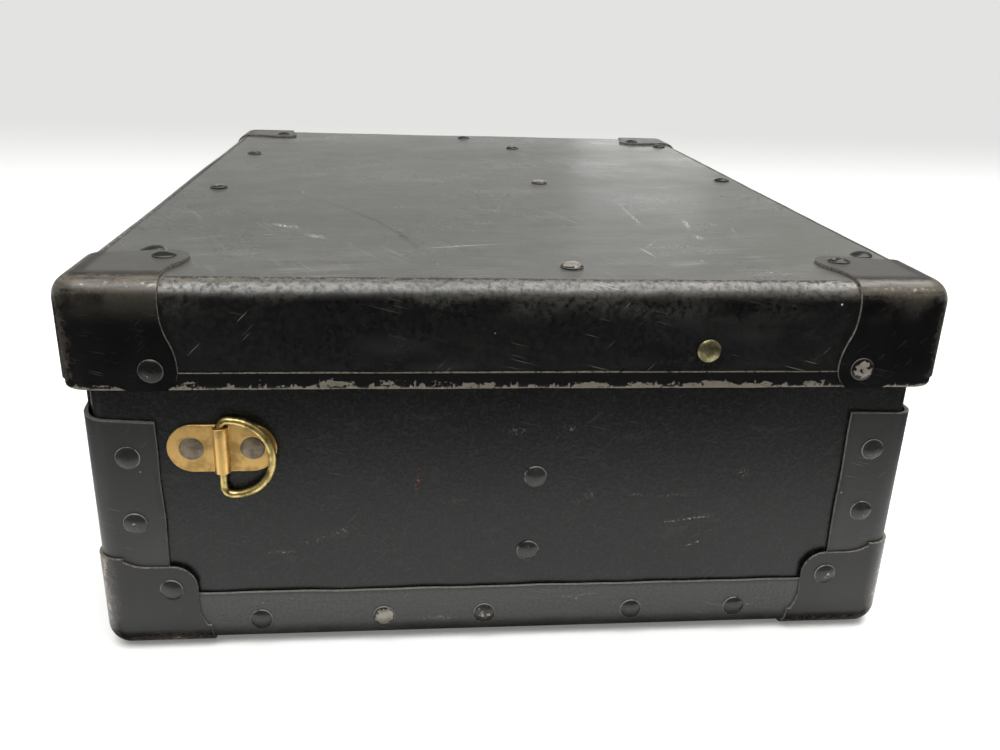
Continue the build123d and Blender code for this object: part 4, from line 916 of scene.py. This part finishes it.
def rivet_seats(node):
    """Apex, outward direction, head radius and length of each rivet in a CAD node.  Points
    take the lowest number of the faces they share until nothing changes, so each loose
    rivet has one number; its box gives its axis, the end that comes to a point its head."""
    mesh = frame["nodes"][node].data
    points = read(mesh.vertices, "co")
    same = np.unique(np.round(points / (0.002 * MM)).astype(int), axis=0,
                     return_inverse=True)[1].ravel()
    mesh.calc_loop_triangles()
    faces = same[read(mesh.loop_triangles, "vertices", int)]
    number = np.arange(faces.max() + 1)
    while True:
        before = number.copy()
        least = number[faces].min(1)
        for column in range(3):
            np.minimum.at(number, faces[:, column], least)
        if (number == before).all():
            break
    number = number[same]
    seats = []
    for value in np.unique(number):
        own = points[number == value]
        low, high = own.min(0), own.max(0)
        size = high - low
        axis = int(np.argmax([abs(size[i] - np.delete(size, i).mean())
                              if abs(np.diff(np.delete(size, i))[0]) < 0.3 * MM else -1
                              for i in range(3)]))
        middle = (low + high) / 2
        across = np.delete(own - middle, axis, 1)
        at_high, at_low = (np.linalg.norm(across[there], axis=1).min() for there in (
            own[:, axis] > high[axis] - 0.02 * MM, own[:, axis] < low[axis] + 0.02 * MM))
        sign = 1 if at_high < at_low else -1
        apex = middle.copy()
        apex[axis] = high[axis] if sign > 0 else low[axis]
        out = np.zeros(3)
        out[axis] = sign
        seats.append((apex, out, np.delete(size, axis).mean() / 2, size[axis]))
    return [np.array(column) for column in zip(*seats)]


def make_rivets(node, material, rise, shank, tail, chipped_at=(), worn_to=1.0):
    """All rivets of a node: a low dome with a rounded rim, a shank and a clinched tail, turned
    round the axis; each dome is tipped a little by its own amount, and may be worn lower."""
    apex, out, radius, length = rivet_seats(node)
    count = len(apex)
    rng = np.random.default_rng(len(node) * 7 + count)
    side = np.where(np.abs(out[:, 2:3]) > 0.5, np.array([[1.0, 0, 0]]), np.array([[0, 0, 1.0]]))
    other = np.cross(out, side)
    radius = 0.95 * radius       # drawn a little under the head's full size
    edge = 0.42 * MM             # height of the rounded rim
    clinch = 0.8 * MM            # thickness of the clinched tail
    share = np.linspace(0, 1, 8) * 0.955
    across = np.concatenate([share, [0.985, 1.0, 0.985]])
    height = np.concatenate([edge + (rise - edge) * (1 - share ** 2) ** 0.9,
                             [edge * 0.95, edge * 0.5, -0.45 * MM]])
    dome = len(across)
    # shares of the head's radius; -1 stands for the shank's and -2 for the tail's
    profile_r = np.concatenate([across, [-1, -1, -2, -2, 0]])
    turns = 28
    angle = np.linspace(0, TAU, turns, endpoint=False)
    tip = rng.normal(0, 0.055, (count, 2))
    grip = length - rise - clinch
    r = np.where(profile_r[None, :] == -1, shank, np.where(profile_r[None, :] == -2, tail,
                 profile_r[None, :] * radius[:, None]))
    h = np.concatenate([np.broadcast_to(worn_to * height[None, :], (count, dome)),
                        np.zeros((count, 1)), -grip[:, None], -grip[:, None],
                        -grip[:, None] - clinch, -grip[:, None] - clinch], 1)
    x = r[:, :, None] * np.cos(angle)
    y = r[:, :, None] * np.sin(angle)
    head = np.concatenate([np.ones(dome), np.zeros(5)])[None, :, None]
    lean = (tip[:, 0, None, None] * x + tip[:, 1, None, None] * y) * head \
        * np.clip(h[:, :, None] / rise, 0, 1)
    top = h[:, :, None] + lean
    z = np.minimum(top, rise) - rise
    points = (apex[:, None, None] + side[:, None, None] * x[..., None]
              + other[:, None, None] * y[..., None] + out[:, None, None] * z[..., None])
    one = quads(len(profile_r), turns, close_columns=True)
    faces = (one[None] + (np.arange(count) * len(profile_r) * turns)[:, None, None])
    chipped = rng.uniform(0.0, 0.16, count)
    for place, amount in chipped_at:
        chipped[np.argmin(np.linalg.norm(apex - np.array(place) * MM, axis=1))] = amount
    shape = points.shape[:3]
    rim = np.concatenate([share ** 6, [1.0, 0.7, 0.0], np.zeros(5)])
    made = piece(node + "_turned", points, faces.reshape(-1, 4), material, node, 48.0,
                 {"chipped": np.broadcast_to(chipped[:, None, None], shape),
                  "rim": np.broadcast_to(rim[None, :, None], shape)})
    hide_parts(node)


# ---- pressed caps -------------------------------------------------------------------

def make_caps():
    """Steel corners: welded copies whose cut edges and backs, the faces that look inwards
    along any axis, are bare steel."""
    for place in ("near_left", "near_right", "far_left", "far_right"):
        for kind, material, up in (("lid_cap_", LID_CAP, 1), ("bottom_cap_", FOOT_CAP, -1)):
            made = merged_copy(kind + place, material)
            outward = np.array([1 if "right" in place else -1, 1 if "far" in place else -1, up])
            mesh = made.data
            mesh.materials.append(BARE_STEEL)
            inward = (read(mesh.polygon_normals, "vector") * outward < -0.05).any(1)
            mesh.polygons.foreach_set("material_index", inward.astype(np.int32))
            mesh.update()


# ---- stitched grip ------------------------------------------------------------------

def make_grip():
    """Leather sleeve round the bail: a barrel whose radius bulges by a sine along it, with a
    raised seam at its lower back, rolled in at both ends; and a row of slanted stitches, each
    a short tube with pinched ends."""
    node = "handle_grip"
    centre = (grip_low + grip_high) / 2
    half, full = (grip_high.y - grip_low.y) / 2, (grip_high.x - grip_low.x) / 2
    turns, rows = 48, 60
    t = np.linspace(-1, 1, rows)[:, None]
    angle = np.linspace(0, TAU, turns, endpoint=False)[None, :]
    seam_at = math.radians(215)

    def swell(at):
        return full * (0.84 + 0.16 * np.cos(at * math.pi / 2) ** 0.7)

    barrel = swell(t) - (full - BAIL_R) * 0.35 * np.abs(t) ** 40
    seam = 0.5 * MM * np.exp(-((np.cos(angle - seam_at) - 1) / 0.02) ** 2) * (1 - np.abs(t) ** 30)
    r = barrel * 0.96 + seam
    y = centre.y + half * t + 0 * angle
    outer = np.stack([centre.x + r * np.cos(angle), y, centre.z + r * np.sin(angle)], -1)
    ring = np.concatenate([np.cos(angle), 0 * angle, np.sin(angle)]).T[None]
    mid = np.array([centre.x, 0, centre.z])
    caps = [mid + np.array([0, centre.y + s * half, 0]) + ring * BAIL_R for s in (-1, 1)]
    points = np.concatenate([caps[0], outer, caps[1]])
    made = piece("handle_grip_sleeve", points, quads(rows + 2, turns, True, True), LEATHER,
                 node, 50.0)
    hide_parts(node)
    count, rings, sides = 17, 9, 8
    along = np.linspace(-0.88, 0.88, count)
    s = np.linspace(-1, 1, rings)[None, :, None]
    ring_angle = np.linspace(0, TAU, sides, endpoint=False)[None, None, :]
    thick = 0.45 * MM * np.sqrt(np.clip(1 - s ** 4, 0, 1)) + 0.001 * MM
    around = seam_at + 0.26 * s + 0 * ring_angle
    lift = swell(along)[:, None, None] * 0.96 \
        + 0.28 * MM * (1 - s ** 2) + thick * np.cos(ring_angle)
    yy = centre.y + half * along[:, None, None] + 1.1 * MM * s + thick * np.sin(ring_angle)
    points = np.stack(np.broadcast_arrays(centre.x + lift * np.cos(around), yy,
                                          centre.z + lift * np.sin(around)), -1)
    one = quads(rings, sides, close_columns=True)
    faces = one[None] + (np.arange(count) * rings * sides)[:, None, None]
    piece("handle_grip_stitches", points, faces.reshape(-1, 4), THREAD, node, 60.0)


# ---- the whole case -----------------------------------------------------------------

make_lid_shell()
make_rim_band()
make_strips()
make_caps()
make_grip()
# radii of shanks and clinched tails, and how far the large and small heads stand out
SHANK, TAIL, RISE, LOW_RISE = 1.9 * MM, 3.0 * MM, 1.7 * MM, 1.3 * MM
make_rivets("body_rivets", BODY_RIVET, RISE, SHANK, TAIL, (
    ((-53.0, -225.7, 13.4), 0.66), ((-10.3, -225.7, 13.4), 0.34), ((150.5, -225.7, 89), 0.26),
    ((150.5, -225.7, 60), 0.2), ((138.9, -226.9, 29.5), 0.24), ((7.5, -224.1, 42.9), 0.18),
    ((-150.5, -225.7, 60), 0.2)))
make_rivets("lid_cap_rivets", LID_RIVET, RISE, SHANK, TAIL, (
    ((137, -230.7, 126.7), 0.56), ((-137, -230.7, 126.7), 0.22), ((137, -194, 163.4), 0.3)))
make_rivets("lid_top_rivets", LID_RIVET, RISE, SHANK, TAIL, (
    ((23, -202, 162.2), 0.62), ((36, -3, 162.2), 0.6), ((-145, -35, 162.2), 0.46),
    ((-145, 96, 162.2), 0.4), ((36, 148, 162.2), 0.36), ((155, 17, 162.2), 0.34)))
make_rivets("ring_rivets", WORN_RIVET, RISE, SHANK, TAIL, worn_to=0.55)
make_rivets("lid_brass_rivet", STUD_BRASS, RISE, SHANK, TAIL)
make_rivets("lid_fitting_rivets", LID_RIVET, LOW_RISE, SHANK, TAIL)
make_rivets("body_fitting_rivets", BODY_RIVET, LOW_RISE, SHANK, TAIL)

for node in frame["nodes"]:
    if node.startswith(("body_tray", "end_panel")):
        merged_copy(node, WALL_FIBRE)
    elif "batten" in node:
        merged_copy(node, PINE, 0.5 * MM)
    elif node.startswith("ring_plate"):
        merged_copy(node, PLATE_BRASS, 0.2 * MM)
    elif node.startswith("strap_ring"):
        merged_copy(node, RING_BRASS, smooth=60.0)
    elif node.startswith(("handle_bail", "catch_loop", "hinge_pin", "catch_pin")):
        merged_copy(node, FITTING_STEEL, smooth=45.0)
    elif node.startswith(("hinge", "handle_lug", "catch")):
        merged_copy(node, FITTING_STEEL, 0.2 * MM)


# ---- studio -------------------------------------------------------------------------

def white_paper_and_painted_reflections():
    """Matt paper, very slightly mottled.  Seen directly it is lifted a little towards white.
    In glossy reflections alone it carries painted reflections: a painted glow close to the
    case, less to the right, which is extra light on the case, and painted dark further out
    and right under it."""
    made, tree, shader, place = start("white_paper_and_painted_reflections")
    cloud = mottle(tree, place, 300 * MM, 3.0)
    path = add(tree, "LightPath", {}).node.outputs
    axes = add(tree, "SeparateXYZ", {0: place}).node.outputs
    away = [add(tree, "Math", {0: add(tree, "Math", {0: axes[i]}, operation="ABSOLUTE"), 1: half},
                operation="SUBTRACT") for i, half in ((0, lid_x), (1, lid_y))]
    away = add(tree, "Math", {0: away[0], 1: away[1]}, **MOST)
    low = add(tree, "MapRange", {0: axes[2], 1: 0.05, 2: 0.02}, **SMOOTH)
    mirrored = add(tree, "Math", {0: low, 1: path["Is Glossy Ray"]}, **TIMES)

    # painted dark reflections: in glossy rays the far floor and the floor under the case are dark
    far = add(tree, "MapRange", {0: away, 1: 0.06, 2: 0.25}, **SMOOTH)
    far = where(tree, far, axes[1], 0.45, 0.15)
    under = add(tree, "MapRange", {0: away, 1: 0.012, 2: -0.002}, **SMOOTH)
    painted_dark_reflection = add(tree, "Math", {0: far, 1: under}, **MOST)
    painted_dark_reflection = add(tree, "Math", {0: painted_dark_reflection, 1: mirrored}, **TIMES)

    # painted glow: in glossy rays the floor close to the case gives off light, less to the right
    beside = add(tree, "MapRange", {0: away, 1: 0.07, 2: 0.0}, **SMOOTH)
    around = add(tree, "MapRange", {0: away, 1: 0.27, 2: 0.10}, **SMOOTH)
    painted_glow = add(tree, "Math", {0: beside, 1: 2.2, 2: around}, **TIMES_PLUS)
    leftwards = add(tree, "MapRange", {0: axes[0], 1: -0.05, 2: 0.2, 3: 1.0, 4: 0.72}, **SMOOTH)
    painted_glow = add(tree, "Math", {0: painted_glow, 1: leftwards}, **TIMES)
    clear = add(tree, "MapRange", {0: away, 1: 0.002, 2: 0.022}, **SMOOTH)
    near = add(tree, "Math", {0: clear, 1: mirrored}, **TIMES)
    near = add(tree, "Math", {0: near, 1: painted_glow}, **TIMES)

    # the backdrop, seen directly, is flat and nearly white
    backdrop = add(tree, "MapRange", {0: axes[1], 1: -0.2, 2: 1.8}, **SMOOTH)
    backdrop = add(tree, "Math", {0: backdrop, 1: path["Is Camera Ray"]}, **TIMES)
    lift = add(tree, "Mix", {0: backdrop, 2: 0.17, 3: 1.0})
    lift = add(tree, "Math", {0: path["Is Camera Ray"], 1: lift}, **TIMES)
    colour = coats(tree, "#ededeb", (cloud, "#f3f3f1"), (painted_dark_reflection, "#2c2b2a"),
                   (backdrop, "#000000"))
    give(tree, shader, Base_Color=colour, Roughness=0.9, Specular_IOR_Level=0.0,
         Emission_Color=coats(tree, "#ffffff", (backdrop, "#e3e3e1")),
         Emission_Strength=add(tree, "Math", {0: near, 1: 0.3, 2: lift}, **TIMES_PLUS))
    return made


def make_sweep():
    """Floor that curves up into a backdrop: a flat run, a quarter circle and an upright run,
    carried across the width."""
    r, front, back, height, half = 1.4, -5.0, 2.4, 5.0, 6.0
    cos, sin = quarter(270, 360, 24)
    y = np.concatenate([[front], back + r * cos, [back + r]])
    z = np.concatenate([[0.0], r + r * sin, [height]])
    across = np.array([-half, half])[:, None]
    points = np.stack(np.broadcast_arrays(across, y[None, :], z[None, :]), -1)
    mesh = bpy.data.meshes.new("paper_sweep")
    mesh.from_pydata(points.reshape(-1, 3).tolist(), [], quads(2, len(y)).tolist())
    mesh.materials.append(white_paper_and_painted_reflections())
    mesh.shade_smooth()
    made = into_scene("paper_sweep", mesh)


def softbox(name, place, target, width, height, power):
    """A rectangular lamp at a place, turned to a target."""
    lamp = bpy.data.lights.new(name, "AREA")
    lamp.shape, lamp.size, lamp.size_y, lamp.energy = "RECTANGLE", width, height, power
    made = into_scene(name, lamp)
    made.location = place
    made.rotation_euler = (Vector(target) - Vector(place)).to_track_quat("-Z", "Y").to_euler()


def set_room():
    """Room light: bright overhead and behind the case, dim at eye level in front of it, and
    pale where it is seen directly."""
    room = bpy.data.worlds.new("room")
    room.use_nodes = True
    tree = room.node_tree
    way = add(tree, "TexCoord", {}, "Generated")
    axes = add(tree, "SeparateXYZ", {0: way}).node.outputs
    overhead = add(tree, "MapRange", {0: axes[2], 1: 0.45, 2: 0.95}, **SMOOTH)
    behind = add(tree, "MapRange", {0: axes[1], 1: 0.0, 2: 0.6}, **SMOOTH)
    lit = add(tree, "Math", {0: overhead, 1: behind}, **MOST)
    beside = add(tree, "MapRange", {0: add(tree, "Math", {0: axes[0]}, operation="ABSOLUTE"),
                                    1: 0.7, 2: 0.95}, **SMOOTH)
    beside = add(tree, "Math", {0: beside, 1: 0.5}, **TIMES)
    lit = add(tree, "Math", {0: lit, 1: beside}, **MOST)
    strength = add(tree, "MapRange", {"Value": lit, "To Min": 0.08, "To Max": 1.0})
    seen = add(tree, "LightPath", {}, "Is Camera Ray")
    strength = add(tree, "Math", {0: strength, 1: seen}, **MOST)
    back = tree.nodes["Background"]
    back.inputs["Color"].default_value = linear("#e8e8e6")
    tree.links.new(strength, back.inputs["Strength"])
    bpy.context.scene.world = room


def set_camera():
    """From the near end, above it and left of the middle; lengths as on a 36 mm sensor."""
    place = (-0.0429, -0.5630, 0.2535)
    yaw, pitch, roll = 0.1057, 0.3662, 0.0347
    ahead = Vector((math.sin(yaw) * math.cos(pitch), math.cos(yaw) * math.cos(pitch),
                    -math.sin(pitch)))
    level = Vector((math.cos(yaw), -math.sin(yaw), 0))
    above_it = level.cross(ahead)
    across = level * math.cos(roll) + above_it * math.sin(roll)
    upward = above_it * math.cos(roll) - level * math.sin(roll)
    turned = Matrix((across, upward, -ahead)).transposed().to_4x4()
    data = bpy.data.cameras.new("camera")
    data.sensor_width = 36.0
    data.lens = 33.81
    data.clip_start = 0.01
    camera = into_scene("camera", data)
    camera.matrix_world = Matrix.Translation(place) @ turned
    bpy.context.scene.camera = camera


make_sweep()
softbox("overhead", (0.2, -0.3, 2.4), (0, -0.1, 0.1), 4.4, 1.7, 108)
softbox("tube", (0.0, -0.80, 2.1), (0, -0.23, 0.16), 1.9, 0.06, 4.6)
softbox("far_right", (0.85, 3.0, 0.46), (0.12, 0.2, 0.16), 0.5, 0.25, 0.7)
set_room()
set_camera()
bpy.context.scene.view_settings.view_transform = "Standard"
